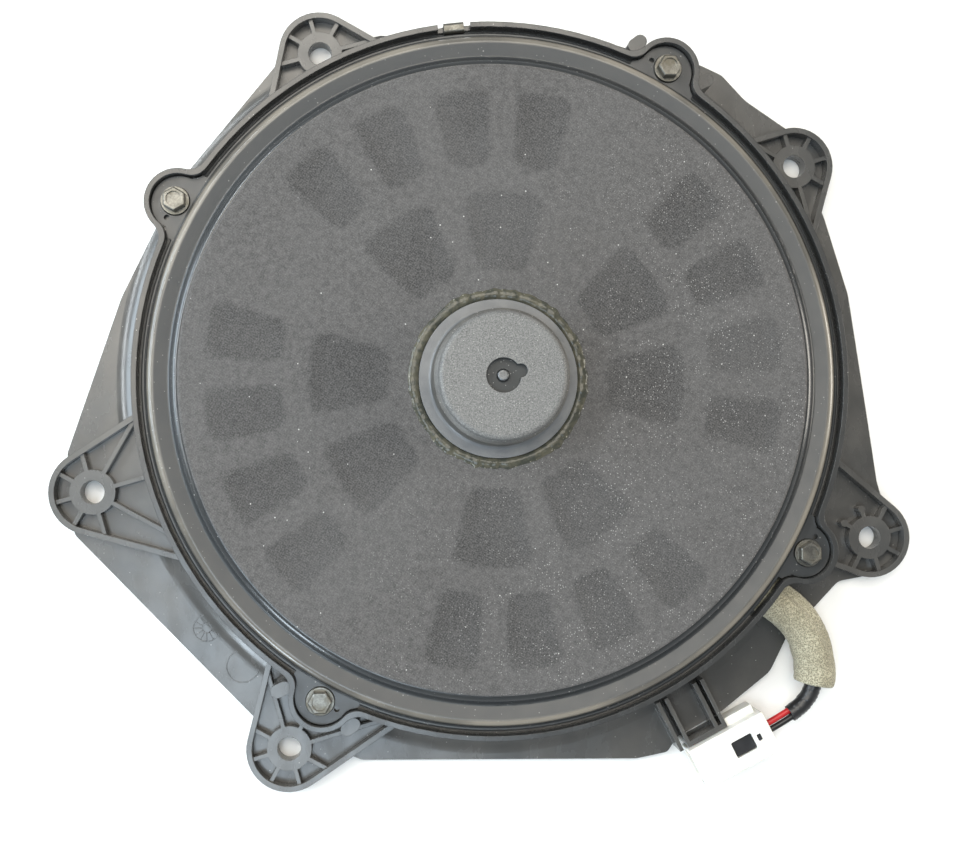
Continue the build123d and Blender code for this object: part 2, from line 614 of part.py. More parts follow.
# Voice coil
with BuildPart() as former:
    with BuildSketch(Plane.XY.offset(FORMER_Z[0])):
        Circle(FORMER_R)
        Circle(FORMER_R - FORMER_T, mode=Mode.SUBTRACT)
    extrude(amount=FORMER_Z[1] - FORMER_Z[0])
save(former, "voice_coil_former")

with BuildPart() as winding:
    with BuildSketch(Plane.XY.offset(WINDING_Z[0])):
        Circle(FORMER_R + WINDING_T)
        Circle(FORMER_R, mode=Mode.SUBTRACT)
    extrude(amount=WINDING_Z[1] - WINDING_Z[0])
    fillet(winding.edges().filter_by(GeomType.CIRCLE).sort_by(SortBy.RADIUS)[-2:], EDGE_BREAK)
save(winding, "voice_coil_winding")

# Cone with its neck collar, dust cap and surround
with BuildPart() as cone:
    with BuildSketch(Plane.XZ):
        sheet_section(
            [
                (FORMER_R, CONE_NECK_Z + CONE_COLLAR_H),
                (CONE_COLLAR_R[0], CONE_NECK_Z + CONE_COLLAR_H),
                (CONE_COLLAR_R[1], CONE_NECK_Z), (CONE_EDGE_R[0], CONE_EDGE_Z),
                (CONE_EDGE_R[1], CONE_EDGE_Z),
            ],
            CONE_T,
        )
    revolve(axis=Axis.Z)
save(cone, "cone")

cone_slope = (CONE_NECK_Z - CONE_EDGE_Z) / (CONE_EDGE_R[0] - CONE_COLLAR_R[1])
cap_z = CONE_NECK_Z - CONE_T - cone_slope * (CAP_R - CONE_COLLAR_R[1]) - CAP_GAP
cap_flange_z = cap_z - cone_slope * (CAP_FLANGE_R - CAP_EDGE_R)
with BuildPart() as dust_cap:
    with BuildSketch(Plane.XZ):
        arc_section(
            [[(0, cap_z - CAP_DEPTH), (CAP_SHOULDER_R, cap_z - CAP_SHOULDER), (CAP_EDGE_R, cap_z)]],
            (0, cap_z - CAP_DEPTH), (CAP_FLANGE_R, cap_flange_z), CONE_T,
        )
    revolve(axis=Axis.Z)
save(dust_cap, "dust_cap")

with BuildPart() as surround:
    mid_r = sum(SURROUND_ROLL) / 2
    with BuildSketch(Plane.XZ):
        arc_section(
            [[
                (SURROUND_ROLL[0], SURROUND_Z), (mid_r, SURROUND_Z - SURROUND_DEPTH),
                (SURROUND_ROLL[1], SURROUND_Z),
            ]],
            (CONE_EDGE_R[0], SURROUND_Z), (SKIRT_FLANGE_R, SURROUND_Z), SURROUND_T,
        )
    revolve(axis=Axis.Z)
save(surround, "surround")

with BuildPart() as surround_gasket:
    with BuildSketch(Plane.XY.offset(SURROUND_Z - SURROUND_T)):
        Circle(SKIRT_FLANGE_R)
        Circle(SURROUND_RING_R, mode=Mode.SUBTRACT)
    extrude(amount=-SURROUND_RING_T)
    fillet(surround_gasket.edges().group_by(Axis.Z)[0], EDGE_BREAK)
save(surround_gasket, "surround_gasket")

# Rear suspension, glued to a landing ring under the basket's face
with BuildPart() as spider_ring:
    with BuildSketch(Plane.XZ):
        with BuildLine():
            ring_top, foot_z = FACE_Z - STEEL_T, SPIDER_Z + SPIDER_RING_T
            Polyline(
                (SPIDER_RING_R[0], SPIDER_Z), (SPIDER_R[2], SPIDER_Z), (SPIDER_R[2], foot_z),
                (SPIDER_RING_R[2], foot_z), (SPIDER_RING_R[2], ring_top),
                (SPIDER_RING_R[1], ring_top), (SPIDER_RING_R[1], foot_z),
                (SPIDER_RING_R[0], foot_z), close=True,
            )
        make_face()
    revolve(axis=Axis.Z)
save(spider_ring, "spider_ring")

with BuildPart() as spider:
    wave = (SPIDER_R[1] - SPIDER_R[0]) / (2 * SPIDER_WAVES)
    crests = []
    for i in range(2 * SPIDER_WAVES):
        wave_r = SPIDER_R[0] + i * wave
        crest = SPIDER_WAVE_H if i % 2 else -SPIDER_WAVE_H
        crests.append([
            (wave_r, SPIDER_Z), (wave_r + wave / 2, SPIDER_Z + crest), (wave_r + wave, SPIDER_Z),
        ])
    with BuildSketch(Plane.XZ):
        arc_section(crests, (FORMER_R, SPIDER_Z), (SPIDER_R[2], SPIDER_Z), SPIDER_T)
    revolve(axis=Axis.Z)
save(spider, "spider")

# Terminals on the skirt, and the braided leads to the voice coil
with BuildPart() as board:
    with BuildSketch(terminal_plane.offset(BOARD_GAP)):
        with Locations((0, BOARD_RISE)):
            RectangleRounded(BOARD_L, BOARD_W, BOARD_CORNER_R)
        with Locations((-TAB_U, 0), (TAB_U, 0)):
            Rectangle(TAB_W, TAB_T, mode=Mode.SUBTRACT)
        with Locations(*board_rivet_points):
            Circle(BOARD_RIVET_R, mode=Mode.SUBTRACT)
    extrude(amount=BOARD_T)
save(board, "terminal_board")

with BuildPart() as rivets:
    with BuildSketch(terminal_plane.offset(-BOARD_RIVET_IN)):
        with Locations(*board_rivet_points):
            Circle(BOARD_RIVET_R)
    extrude(amount=BOARD_RIVET_IN + BOARD_GAP + BOARD_T)
    with BuildSketch(terminal_plane.offset(BOARD_GAP + BOARD_T)):
        with Locations(*board_rivet_points):
            Circle(BOARD_RIVET_HEAD_R)
    extrude(amount=BOARD_RIVET_HEAD_T)
    outward = Axis((0, 0, 0), (*around(1, TERMINAL_AZ), 0))
    fillet(rivets.edges().group_by(outward)[-1], EDGE_BREAK)
save(rivets, "terminal_rivets")

for name, u in (("terminal_tab_positive", -TAB_U), ("terminal_tab_negative", TAB_U)):
    with BuildPart() as tab:
        with BuildSketch(terminal_plane.offset(-TAB_IN)):
            with Locations((u, 0)):
                Rectangle(TAB_W, TAB_T)
        extrude(amount=TAB_IN + TAB_REACH_R - SKIRT_R)
        chamfer(tab.edges().filter_by(Axis.Z), length=EDGE_BREAK)
    save(tab, name)

for name, side in (("tinsel_lead_positive", -1), ("tinsel_lead_negative", 1)):
    start = (*around(TINSEL_START_R, TERMINAL_AZ + TINSEL_STEP_AZ * side), TINSEL_Z)
    tab_end = terminal_plane.from_local_coords((side * TAB_U, 0, -TAB_IN - TINSEL_GAP))
    end = (tab_end.X, tab_end.Y, TERMINAL_Z)
    crown = (*start[:2], TINSEL_Z + TINSEL_CROWN)
    low_end = (*end[:2], TINSEL_SAG_Z)
    route = [
        start, along(crown, end, TINSEL_KNOTS[0]), along(crown, end, TINSEL_KNOTS[1]),
        along(crown, low_end, TINSEL_KNOTS[2]), end,
    ]
    print(name, "bends", [round(r, 1) for r in bend_radii(route)])
    with BuildPart() as tinsel:
        with BuildLine() as path:
            FilletPolyline(*route, radius=[min(r, TINSEL_BEND_R) for r in bend_radii(route)])
        with BuildSketch(Plane(origin=path.line @ 0, z_dir=path.line % 0)):
            Circle(TINSEL_R)
        sweep(path=path.line)
    save(tinsel, name)

# Screws through the basket's lugs into the bracket
with BuildPart() as screws:
    screw_points = PolarLocations(SCREW_CIRCLE_R, SCREW_COUNT, start_angle=SCREW_AZ)
    head_z = FLANGE_Z + STEEL_T
    with BuildSketch(Plane.XY.offset(SCREW_TIP_Z)):
        with screw_points:
            Circle(SCREW_R)
    extrude(amount=head_z - SCREW_TIP_Z)
    chamfer(screws.edges().group_by(Axis.Z)[0], length=SCREW_BREAK)
    with BuildSketch(Plane.XY.offset(head_z)):
        with screw_points:
            Circle(SCREW_WASHER_R)
    extrude(amount=SCREW_WASHER_T, taper=SCREW_TAPER)
    with BuildSketch(Plane.XY.offset(head_z)):
        with screw_points:
            RegularPolygon(SCREW_HEAD_W / 2, 6, major_radius=False)
    extrude(amount=SCREW_HEAD_H)
    with BuildSketch(Plane.XY.offset(head_z + SCREW_HEAD_H - SCREW_DISH_DEPTH)):
        with screw_points:
            Circle(SCREW_DISH_R)
    extrude(amount=SCREW_DISH_DEPTH, mode=Mode.SUBTRACT)
    chamfer(screws.edges().group_by(Axis.Z)[-1].filter_by(GeomType.LINE), length=EDGE_BREAK)
save(screws, "driver_screws")

# Spring clip in the lip's notch
clip_plane = Plane(
    origin=(*around(LIP_INNER_R + LIP_T / 2, LIP_NOTCH_AZ), LIP_TOP_Z - LIP_NOTCH_DEPTH),
    x_dir=(*around(1, LIP_NOTCH_AZ), 0), z_dir=(*around(1, LIP_NOTCH_AZ - 90), 0),
)
with BuildPart() as clip:
    with BuildSketch(clip_plane.offset(-CLIP_L / 2)):
        with BuildLine():
            FilletPolyline(
                (-CLIP_HALF_W, -CLIP_LEG_IN), (-CLIP_HALF_W, CLIP_RISE),
                (CLIP_HALF_W, CLIP_RISE), (CLIP_HALF_W, -CLIP_LEG_OUT), radius=[CLIP_BEND] * 2,
            )
            offset(amount=CLIP_T / 2, side=Side.BOTH)
        make_face()
    extrude(amount=CLIP_L)
save(clip, "retaining_clip")

half_gap = WIRE_R + WIRE_GAP / 2     # each wire's distance from the lead's middle

# Connector: nylon housing with a window, its two contacts and its lock
with BuildPart() as housing:
    with BuildSketch(conn_plane):
        RectangleRounded(CONN_L, CONN_W, CONN_CORNER_R)
    extrude(amount=CONN_H)
    chamfer(housing.faces().sort_by(Axis.Z)[-1].edges(), length=EDGE_BREAK)
    # side guide that slides on the tray's tongue
    guide_u = TRAY_RIB_U[-1] + TRAY_RIB_T / 2 + TONGUE_GAP
    with BuildSketch(conn_plane.offset(TONGUE_Z + TONGUE_T / 2 - GUIDE_H / 2 - CONN_Z)):
        with Locations((guide_u, CONN_W / 2)):
            Rectangle(GUIDE_L, GUIDE_W, align=Align.MIN)
    extrude(amount=GUIDE_H)
    with BuildSketch(conn_plane.offset(TONGUE_Z - TONGUE_GAP - CONN_Z)):
        with Locations((guide_u - 1, CONN_W / 2 + TRAY_GAP + TONGUE_AT - LOCK_GAP)):
            Rectangle(TONGUE_L + 1, TONGUE_W + 2 * LOCK_GAP, align=Align.MIN)
    extrude(amount=TONGUE_T + 2 * TONGUE_GAP, mode=Mode.SUBTRACT)
    # mating cavity, open at the far end, and the wires' holes at the near end
    with BuildSketch(conn_plane.offset(CONN_WALL)):
        with Locations((-CONN_L / 2 - 1, 0)):
            Rectangle(CONN_L - CONN_FRONT, CONN_W - 2 * CONN_WALL, align=(Align.MIN, Align.CENTER))
    extrude(amount=CONN_H - 2 * CONN_WALL, mode=Mode.SUBTRACT)
    wire_end = Plane(
        origin=conn_plane.from_local_coords((CONN_L / 2, 0, CONN_WIRE_Z)),
        x_dir=conn_plane.y_dir, z_dir=conn_plane.x_dir,
    )
    with BuildSketch(wire_end.offset(-WIRE_BORE)):
        with Locations((-half_gap, 0), (half_gap, 0)):
            Circle(WIRE_R + LOCK_GAP / 2)
    extrude(amount=CLEAR, mode=Mode.SUBTRACT)
    # latch window and the small slot behind it
    with BuildSketch(conn_plane.offset(CONN_H - 2 * CONN_WALL)):
        with Locations((WINDOW_U, 0)):
            RectangleRounded(WINDOW_L, WINDOW_W, CONN_CORNER_R)
    extrude(amount=CONN_H, mode=Mode.SUBTRACT)
    with BuildSketch(conn_plane.offset(CONN_H - SLOT_DEPTH)):
        with Locations((SLOT_U, 0)):
            RectangleRounded(SLOT_L, SLOT_W, SLOT_CORNER_R)
    extrude(amount=CONN_H, mode=Mode.SUBTRACT)
save(housing, "connector_housing")

with BuildPart() as conn_lock:
    with BuildSketch(conn_plane.offset(CONN_WALL)):
        with Locations((WINDOW_U, 0)):
            RectangleRounded(
                WINDOW_L - 3 * LOCK_GAP, WINDOW_W - 2 * LOCK_GAP, CONN_CORNER_R - LOCK_GAP
            )
    extrude(amount=CONN_H - 2 * CONN_WALL - LOCK_GAP)
    with BuildSketch(conn_plane.offset(CONN_WALL + LOCK_FOOT)):
        with Locations((WINDOW_U, 0)):
            Rectangle(CONN_L / 2, WINDOW_W - 2 * LOCK_WALL)
    extrude(amount=LOCK_FREE, mode=Mode.SUBTRACT)
    # the lock's tail, which shows in the slot
    with BuildSketch(conn_plane.offset(CONN_H - SLOT_DEPTH)):
        with Locations((SLOT_U, 0)):
            RectangleRounded(SLOT_L - LOCK_GAP, SLOT_W - LOCK_GAP, SLOT_CORNER_R - LOCK_GAP / 2)
    extrude(amount=SLOT_DEPTH - LOCK_WALL)
save(conn_lock, "connector_lock")

with BuildPart() as contacts:
    for side in (-1, 1):
        with BuildSketch(conn_plane.offset(CONN_WIRE_Z - CONTACT_H / 2)):
            with Locations((CONN_L / 2 - CONTACT_AT, side * half_gap)):
                Rectangle(CONTACT_L, CONTACT_W, align=(Align.MAX, Align.CENTER))
        extrude(amount=CONTACT_H)
save(contacts, "connector_terminals")

# Lead from the terminals to the connector: two wires in a black tube and a foam sleeve
for name, side in (("wire_red", -1), ("wire_black", 1)):
    route = beside(LEAD_ROUTE, side * half_gap)
    print(name, "bends", [round(r, 1) for r in bend_radii(route)])
    with BuildPart() as wire:
        with BuildLine() as path:
            FilletPolyline(*route, radius=bend_radii(route))
        with BuildSketch(Plane(origin=path.line @ 0, z_dir=path.line % 0)):
            Circle(WIRE_R)
        sweep(path=path.line)
    save(wire, name)

for name, outer_r, core_r, first, last in (
    ("foam_sleeve", FOAM_R, FOAM_CORE_R,
     (*along(LEAD_ROUTE[0], LEAD_ROUTE[1], FOAM_FROM)[:2], LEAD_ROUTE[1][2]),
     along(LEAD_ROUTE[4], LEAD_ROUTE[5], FOAM_TO)),
    ("tape_sleeve", TAPE_R, TAPE_CORE_R, along(LEAD_ROUTE[4], LEAD_ROUTE[3], TAPE_FROM),
     along(LEAD_ROUTE[6], LEAD_ROUTE[5], TAPE_TO)),
):
    if name == "foam_sleeve":
        route = [first, *LEAD_ROUTE[1:4], last]
    else:
        route = [first, LEAD_ROUTE[4], LEAD_ROUTE[5], last]
    with BuildPart() as sleeve:
        with BuildLine() as path:
            FilletPolyline(*route, radius=bend_radii(route))
        with BuildSketch(Plane(origin=path.line @ 0, z_dir=path.line % 0)):
            Circle(outer_r)
            Circle(core_r, mode=Mode.SUBTRACT)
        sweep(path=path.line)
    save(sleeve, name)
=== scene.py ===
import json
import math

import bpy
import numpy as np
from mathutils import Matrix, Vector, noise


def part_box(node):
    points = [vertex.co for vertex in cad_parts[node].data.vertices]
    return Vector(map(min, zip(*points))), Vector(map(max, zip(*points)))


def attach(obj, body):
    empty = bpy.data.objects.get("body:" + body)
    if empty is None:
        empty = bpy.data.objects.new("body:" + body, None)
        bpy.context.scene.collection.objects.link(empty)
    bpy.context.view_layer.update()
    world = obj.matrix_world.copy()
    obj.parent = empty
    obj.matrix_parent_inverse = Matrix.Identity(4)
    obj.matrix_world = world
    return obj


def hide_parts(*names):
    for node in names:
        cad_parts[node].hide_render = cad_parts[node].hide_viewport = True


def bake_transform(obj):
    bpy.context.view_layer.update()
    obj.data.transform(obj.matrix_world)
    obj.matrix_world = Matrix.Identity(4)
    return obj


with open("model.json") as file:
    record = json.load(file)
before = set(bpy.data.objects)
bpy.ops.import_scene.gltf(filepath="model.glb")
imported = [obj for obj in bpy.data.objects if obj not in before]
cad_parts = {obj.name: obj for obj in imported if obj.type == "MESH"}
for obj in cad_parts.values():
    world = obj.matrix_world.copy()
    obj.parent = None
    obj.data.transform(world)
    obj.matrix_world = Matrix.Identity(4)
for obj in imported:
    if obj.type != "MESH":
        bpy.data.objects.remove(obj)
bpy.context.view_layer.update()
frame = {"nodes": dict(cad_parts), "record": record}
nodes = frame["nodes"]
MM = 0.001

# ---- Sizes, in millimetres, as the CAD has them ----
CLOTH_Z = 31.5                                  # upper side of the cloth
FACE_Z = 31.0                                   # metal face under the cloth
WINDOW_AZIMUTHS = [16.2 + 90.0 * k for k in range(4)]
# Inner and outer radius of a window, its width in degrees and its places in a group of windows
OUTER_WINDOW = (83.5, 114.0, 11.6, (-25.8, -8.6, 8.6, 25.8))
INNER_WINDOW = (42.5, 74.0, 26.5, (-18.0, 18.0))
WINDOW_CORNER_R = 5.0
CUP_FLANGE_R, CUP_FLANGE_Z, CUP_TOP_Z = 31.0, 32.8, 54.0
RECESS_LIMIT_R = 10.0                           # the cup's recess and its notch lie within it
BRACKET_FLOOR_Z = 3.0                           # upper side of the bracket's floor
BRACKET_LIP_Z = 25.0                            # from here up the bracket is all lip
STEEL_T = 1.2
# Middle of the pressed rim's steel, from the face out to its flange, and its bends
RIM_LINE = [(123.0, 30.4), (124.7, 30.4), (127.0, 27.2), (134.6, 29.0), (136.0, 24.1), (137.1, 24.1)]
RIM_BENDS = (2.6, 1.8, 1.9, 0.9)
VALLEY_R, BEAD_R = RIM_LINE[2][0], RIM_LINE[3][0]
SURROUND_Z, SURROUND_T, SURROUND_DEPTH = 14.0, 0.8, 6.5
SURROUND_R = (97.5, 104.5, 121.5, 127.0)
SPIDER_Z, SPIDER_T = 22.5, 0.5
SPIDER_R = (20.6, 24.0, 75.0, 81.5)
SPIDER_WAVES, SPIDER_WAVE_H = 6, 0.8
TINSEL_R = 0.6
WIRE_R = 1.3
WIRE_STEP = 1.45                                # each wire's distance from the lead's middle
TAPE_R, TAPE_CORE_R = 3.6, 3.05
FOAM_R, FOAM_CORE_R = 8.7, 4.6
# Middle of the lead, from the terminals under the rim to the back of the connector
LEAD_ROUTE = [
    (103.2, -80.7, 17.5), (115.5, -88.5, 12.8), (127.0, -98.0, 12.0), (132.5, -110.5, 11.0),
    (133.5, -122.5, 10.0), (130.0, -131.0, 9.7), (121.1, -137.6, 9.9), (108.7, -144.0, 10.0),
]

# ---- Sizes of the pieces that only the visual model has, in millimetres ----
# The woven cloth: its thickness, and how far it lies under the CAD cloth's upper side and inside its edge
WOVEN_T, WOVEN_DROP, WOVEN_INSET = 0.33, 0.06, 0.02
SAG, SAG_REACH = 0.42, 7.0                      # depth of its sag, full this far inside a window
# The cloth's darker tone over a window is painted shade of the cavity behind it.
WINDOW_EDGE, WINDOW_BLUR = 0.9, 2.6             # its darker tone begins this far outside a window
RIPPLE, RIPPLE_SIZE = 0.05, 9.0
PAINT_T, PAINT_WAVE = 0.12, 0.03
SEALANT_WIDE, SEALANT_TALL = 2.2, 1.15          # half width and half height of its section
FOAM_TOP_Z = 12.8                               # highest that the foam's middle lies
# Ends of the two sleeves, counted along the lead from a point of its route
FOAM_FROM, FOAM_TO = 7.0, 1.5                   # from the first and the fifth point
TAPE_FROM, TAPE_TO = -5.0, -2.5                 # from the fifth and the seventh point
# Heights of a braided lead's middle, by its share of the way from the cone to the tab
BRAID_HEIGHTS = ((0.0, 18.5), (0.15, 20.6), (0.38, 20.4), (0.66, 18.2), (1.0, 17.5))
EJECTOR_MARK, MOULD_DIAL = (-101.0, -115.0), (-115.5, -99.5)
MARK_H, MARK_ROOT, SPOKE_HALF = 0.16, 0.2, 0.2
PAPER_SIZE, PAPER_DROP = 8000.0, 0.4            # the floor of the picture, a little under the part
# Camera in metres, fitted to the rim, screws, cup and ears of the photograph
CAMERA_PLACE, CAMERA_LENS, CAMERA_SENSOR = (-0.0471, -0.0321, 0.5310), 48.26, 36
CAMERA_BACK, CAMERA_RIGHT = (-0.0797, -0.0214, 0.9966), (0.9968, 0.0, 0.0798)


# ---- Materials ----
class Look:
    """A material in the making: its nodes, its shader and a position in millimetres."""

    def __init__(self, name, **shader_values):
        self.material = bpy.data.materials.new(name)
        self.material.use_nodes = True
        self.tree = self.material.node_tree
        self.shader = self.tree.nodes["Principled BSDF"]
        place = self.tree.nodes.new("ShaderNodeTexCoord").outputs["Object"]
        self.place = self.node("VectorMath", {0: place, 3: 1 / MM}, operation="SCALE")
        for key, value in shader_values.items():
            self.set(key.replace("_", " ").title().replace("Ior", "IOR"), value)

    def node(self, kind, inputs, output=0, **settings):
        made = self.tree.nodes.new("ShaderNode" + kind)
        for key, value in settings.items():
            setattr(made, key, value)
        for key, value in inputs.items():
            if isinstance(value, bpy.types.NodeSocket):
                self.tree.links.new(value, made.inputs[key])
            else:
                made.inputs[key].default_value = value
        return made.outputs[output]

    def set(self, socket, value):
        if isinstance(value, bpy.types.NodeSocket):
            self.tree.links.new(value, self.shader.inputs[socket])
        else:
            self.shader.inputs[socket].default_value = value

    def math(self, operation, a, b=0.0):
        return self.node("Math", {0: a, 1: b}, operation=operation)

    def cloud(self, size, detail=4.0, roughness=0.55, stretch=(1, 1, 1), distortion=0.0):
        """Soft noise from 0 to 1 whose patches are about size millimetres."""
        place = self.node("VectorMath", {0: self.place, 1: stretch}, operation="MULTIPLY")
        return self.node("TexNoise", {
            "Vector": place, "Scale": 1 / size, "Detail": detail,
            "Roughness": roughness, "Distortion": distortion,
        })

    def cells(self, size, output="Distance"):
        return self.node("TexVoronoi", {"Vector": self.place, "Scale": 1 / size}, output)

    def turned(self, degrees):
        """The position turned about the vertical."""
        inputs = {"Vector": self.place, "Angle": math.radians(degrees)}
        return self.node("VectorRotate", inputs, rotation_type="Z_AXIS")

    def bands(self, direction, **inputs):
        """Waves from 0 to 1 along one direction."""
        named = {key.replace("_", " ").title(): value for key, value in inputs.items()}
        return self.node("TexWave", named, 1, bands_direction=direction)

    def between(self, value, low, high, start=0.0, end=1.0):
        """A smooth step from start at low to end at high."""
        return self.node("MapRange", {
            "Value": value, "From Min": low, "From Max": high, "To Min": start, "To Max": end,
        }, interpolation_type="SMOOTHSTEP")

    def specks(self, size, radius, share):
        """Small round dots, one in some of the cells."""
        near = self.between(self.cells(size), radius, radius * 0.5)
        chosen = self.node("SeparateColor", {0: self.cells(size, output="Color")})
        return self.math("MULTIPLY", near, self.math("LESS_THAN", chosen, share))

    def mix(self, factor, a, b):
        return self.node("Mix", {0: factor, 6: (*a, 1) if isinstance(a, tuple) else a,
                                 7: (*b, 1) if isinstance(b, tuple) else b}, 2, data_type="RGBA")

    def along(self, axis):
        """The position along x, y or z."""
        return self.node("SeparateXYZ", {0: self.place}, "xyz".index(axis))

    def height(self):
        return self.along("z")

    def radius(self):
        flat = self.node("VectorMath", {0: self.place, 1: (1, 1, 0)}, operation="MULTIPLY")
        return self.node("VectorMath", {0: flat}, 1, operation="LENGTH")

    def relief(self, height, depth, edge=0.0):
        """Bump of depth millimetres, over edges rounded by edge millimetres."""
        inputs = {"Height": height, "Distance": depth * MM, "Strength": 1.0}
        if edge:
            inputs["Normal"] = self.node("Bevel", {"Radius": edge * MM}, samples=4)
        self.set("Normal", self.node("Bump", inputs))


def bracket_plastic():
    """Filled black polypropylene, dusty, with a fine spark-eroded grain and a darker lip."""
    look = Look("bracket_plastic", specular_ior_level=0.6)
    haze = look.cloud(26, detail=6)
    grain = look.cloud(0.5, detail=3, roughness=0.7)
    tone = look.mix(look.between(haze, 0.3, 0.7), (0.056, 0.056, 0.054), (0.086, 0.083, 0.077))
    lip = look.between(look.height(), BRACKET_LIP_Z - 4, BRACKET_LIP_Z)
    tone = look.mix(lip, tone, (0.032, 0.032, 0.031))
    tone = look.mix(look.math("MULTIPLY", look.between(grain, 0.55, 0.8), 0.35), tone, (0.11, 0.108, 0.1))
    dust = look.specks(1.7, 0.16, 0.10)
    look.set("Base Color", look.mix(look.math("MULTIPLY", dust, 0.7), tone, (0.42, 0.41, 0.38)))
    smear = look.cloud(9, detail=5, stretch=(1, 0.5, 1))
    look.set("Roughness", look.between(smear, 0.3, 0.75, 0.19, 0.33))
    look.relief(grain, 0.02, edge=0.35)
    return look.material


def rim_paint():
    """Black paint on the pressed steel basket: glossy shoulder, dusty valley, and a painted warm highlight
    on the bead.
    """
    look = Look("rim_paint", specular_ior_level=0.5, coat_weight=0.25, coat_roughness=0.2)
    radius = look.radius()
    inner_side = look.between(radius, BEAD_R - 2.2, BEAD_R - 0.6)
    outer_side = look.between(radius, BEAD_R + 1.8, BEAD_R + 0.6)
    bead = look.math("MULTIPLY", inner_side, outer_side)
    shoulder = look.between(radius, VALLEY_R - 0.1, VALLEY_R - 1.6)
    haze = look.cloud(30, detail=5)
    tone = look.mix(haze, (0.018, 0.021, 0.024), (0.034, 0.035, 0.034))
    # The bead's tan is a painted highlight of warm overhead light, lighter in patches.
    highlight_patches = look.between(look.cloud(42, detail=3), 0.35, 0.65)
    painted_highlight = look.mix(highlight_patches, (0.095, 0.088, 0.076), (0.20, 0.18, 0.148))
    tone = look.mix(bead, tone, painted_highlight)
    dust = look.math("MAXIMUM", look.specks(1.3, 0.17, 0.16), look.specks(3.1, 0.12, 0.3))
    look.set("Base Color", look.mix(look.math("MULTIPLY", dust, 0.5), tone, (0.36, 0.35, 0.33)))
    smear = look.between(look.cloud(6, detail=5), 0.3, 0.75, 0.36, 0.48)
    glossy = look.math("MULTIPLY", look.math("MAXIMUM", bead, shoulder), 0.2)
    look.set("Roughness", look.math("SUBTRACT", smear, glossy))
    look.relief(look.cloud(2.4, detail=2), 0.003)
    return look.material


def cloth():
    """Thin black acoustic fabric, glued to the metal between the windows."""
    look = Look("cloth", roughness=0.85, specular_ior_level=0.25, sheen_weight=0.18, sheen_roughness=0.45)
    window = look.node("Attribute", {}, 2, attribute_name="window")
    mottle = look.cloud(3.2, detail=7, roughness=0.72)
    drift = look.cloud(48, detail=3)
    glued = look.mix(look.between(mottle, 0.32, 0.68), (0.048, 0.046, 0.045), (0.083, 0.079, 0.077))
    # Over the windows the cloth is painted darker: painted shade of the open cavity behind it.
    window_shade_tone = look.mix(look.between(mottle, 0.3, 0.7), (0.026, 0.025, 0.025), (0.042, 0.040, 0.039))
    tone = look.mix(window, glued, window_shade_tone)
    tone = look.mix(look.between(drift, 0.35, 0.7, 0.0, 0.3), tone, (0.095, 0.093, 0.092))
    pile = look.cloud(0.7, detail=2, roughness=0.8)
    tone = look.mix(look.between(pile, 0.35, 0.75, 0.0, 0.5), tone, (0.165, 0.160, 0.155))
    turned = look.turned(31)
    threads = [
        look.bands(direction, vector=turned, scale=0.36, distortion=1.6, detail=2, detail_scale=1.5)
        for direction in "XY"
    ]
    weave = look.math("MULTIPLY", *threads)
    tone = look.mix(look.math("MULTIPLY", weave, 0.2), tone, (0.17, 0.165, 0.16))
    # Painted glints: bright specks in patches, stronger towards the lower right.
    to_right = look.math("SUBTRACT", look.along("x"), look.math("MULTIPLY", look.along("y"), 0.45))
    painted_glints = look.math("MULTIPLY", look.specks(0.9, 0.28, 0.5), look.between(to_right, -60, 90, 0.12, 1.0))
    patches = look.between(look.cloud(14, detail=3), 0.4, 0.62, 0.2, 1.0)
    painted_glints = look.math("MULTIPLY", painted_glints, patches)
    lint = look.specks(4.6, 0.075, 0.35)
    bright = look.math("MAXIMUM", look.math("MULTIPLY", painted_glints, 0.75), lint)
    look.set("Base Color", look.mix(bright, tone, (0.46, 0.45, 0.43)))
    fibre = look.cloud(0.45, detail=3, roughness=0.7)
    look.relief(look.math("ADD", look.math("MULTIPLY", weave, 0.6), fibre), 0.09)
    return look.material


def cast_grey():
    """Motor cup: plated steel with a dusty cast look above and a satin flange below."""
    look = Look("cast_grey", specular_ior_level=0.5)
    height = look.height()
    grit = look.cloud(0.55, detail=4, roughness=0.75)
    patch = look.cloud(9, detail=5)
    top = look.mix(look.between(grit, 0.32, 0.7), (0.060, 0.061, 0.060), (0.200, 0.199, 0.192))
    top = look.mix(look.between(patch, 0.4, 0.75, 0, 0.35), top, (0.15, 0.149, 0.144))
    flange = look.mix(look.between(patch, 0.3, 0.7), (0.090, 0.095, 0.100), (0.125, 0.128, 0.130))
    side = look.mix(look.between(patch, 0.3, 0.7), (0.050, 0.047, 0.042), (0.085, 0.080, 0.070))
    tone = look.mix(look.between(height, CUP_FLANGE_Z + 0.2, CUP_FLANGE_Z + 1), flange, side)
    tone = look.mix(look.between(height, CUP_TOP_Z - 8, CUP_TOP_Z - 4), tone, top)
    # Painted shade: the cup's recess and its notch are darkened below the top face.
    shaded_depth = look.between(height, CUP_TOP_Z - 0.3, CUP_TOP_Z - 0.8)
    near = look.between(look.radius(), RECESS_LIMIT_R, RECESS_LIMIT_R - 0.2)
    tone = look.mix(look.math("MULTIPLY", shaded_depth, near), tone, (0.022, 0.024, 0.024))
    sparks = look.math("MULTIPLY", look.specks(0.95, 0.22, 0.3), look.between(height, 34, 40))
    tone = look.mix(look.math("MULTIPLY", sparks, 0.6), tone, (0.5, 0.49, 0.46))
    pitted = look.between(height, CUP_TOP_Z - 8, CUP_TOP_Z - 4, 0.1, 0.5)
    pits = look.math("MULTIPLY", look.specks(1.4, 0.26, 0.3), pitted)
    look.set("Base Color", look.mix(pits, tone, (0.03, 0.03, 0.03)))
    look.set("Roughness", look.between(height, 33, 36, 0.3, 0.5))
    look.relief(grit, 0.06, edge=0.4)
    return look.material


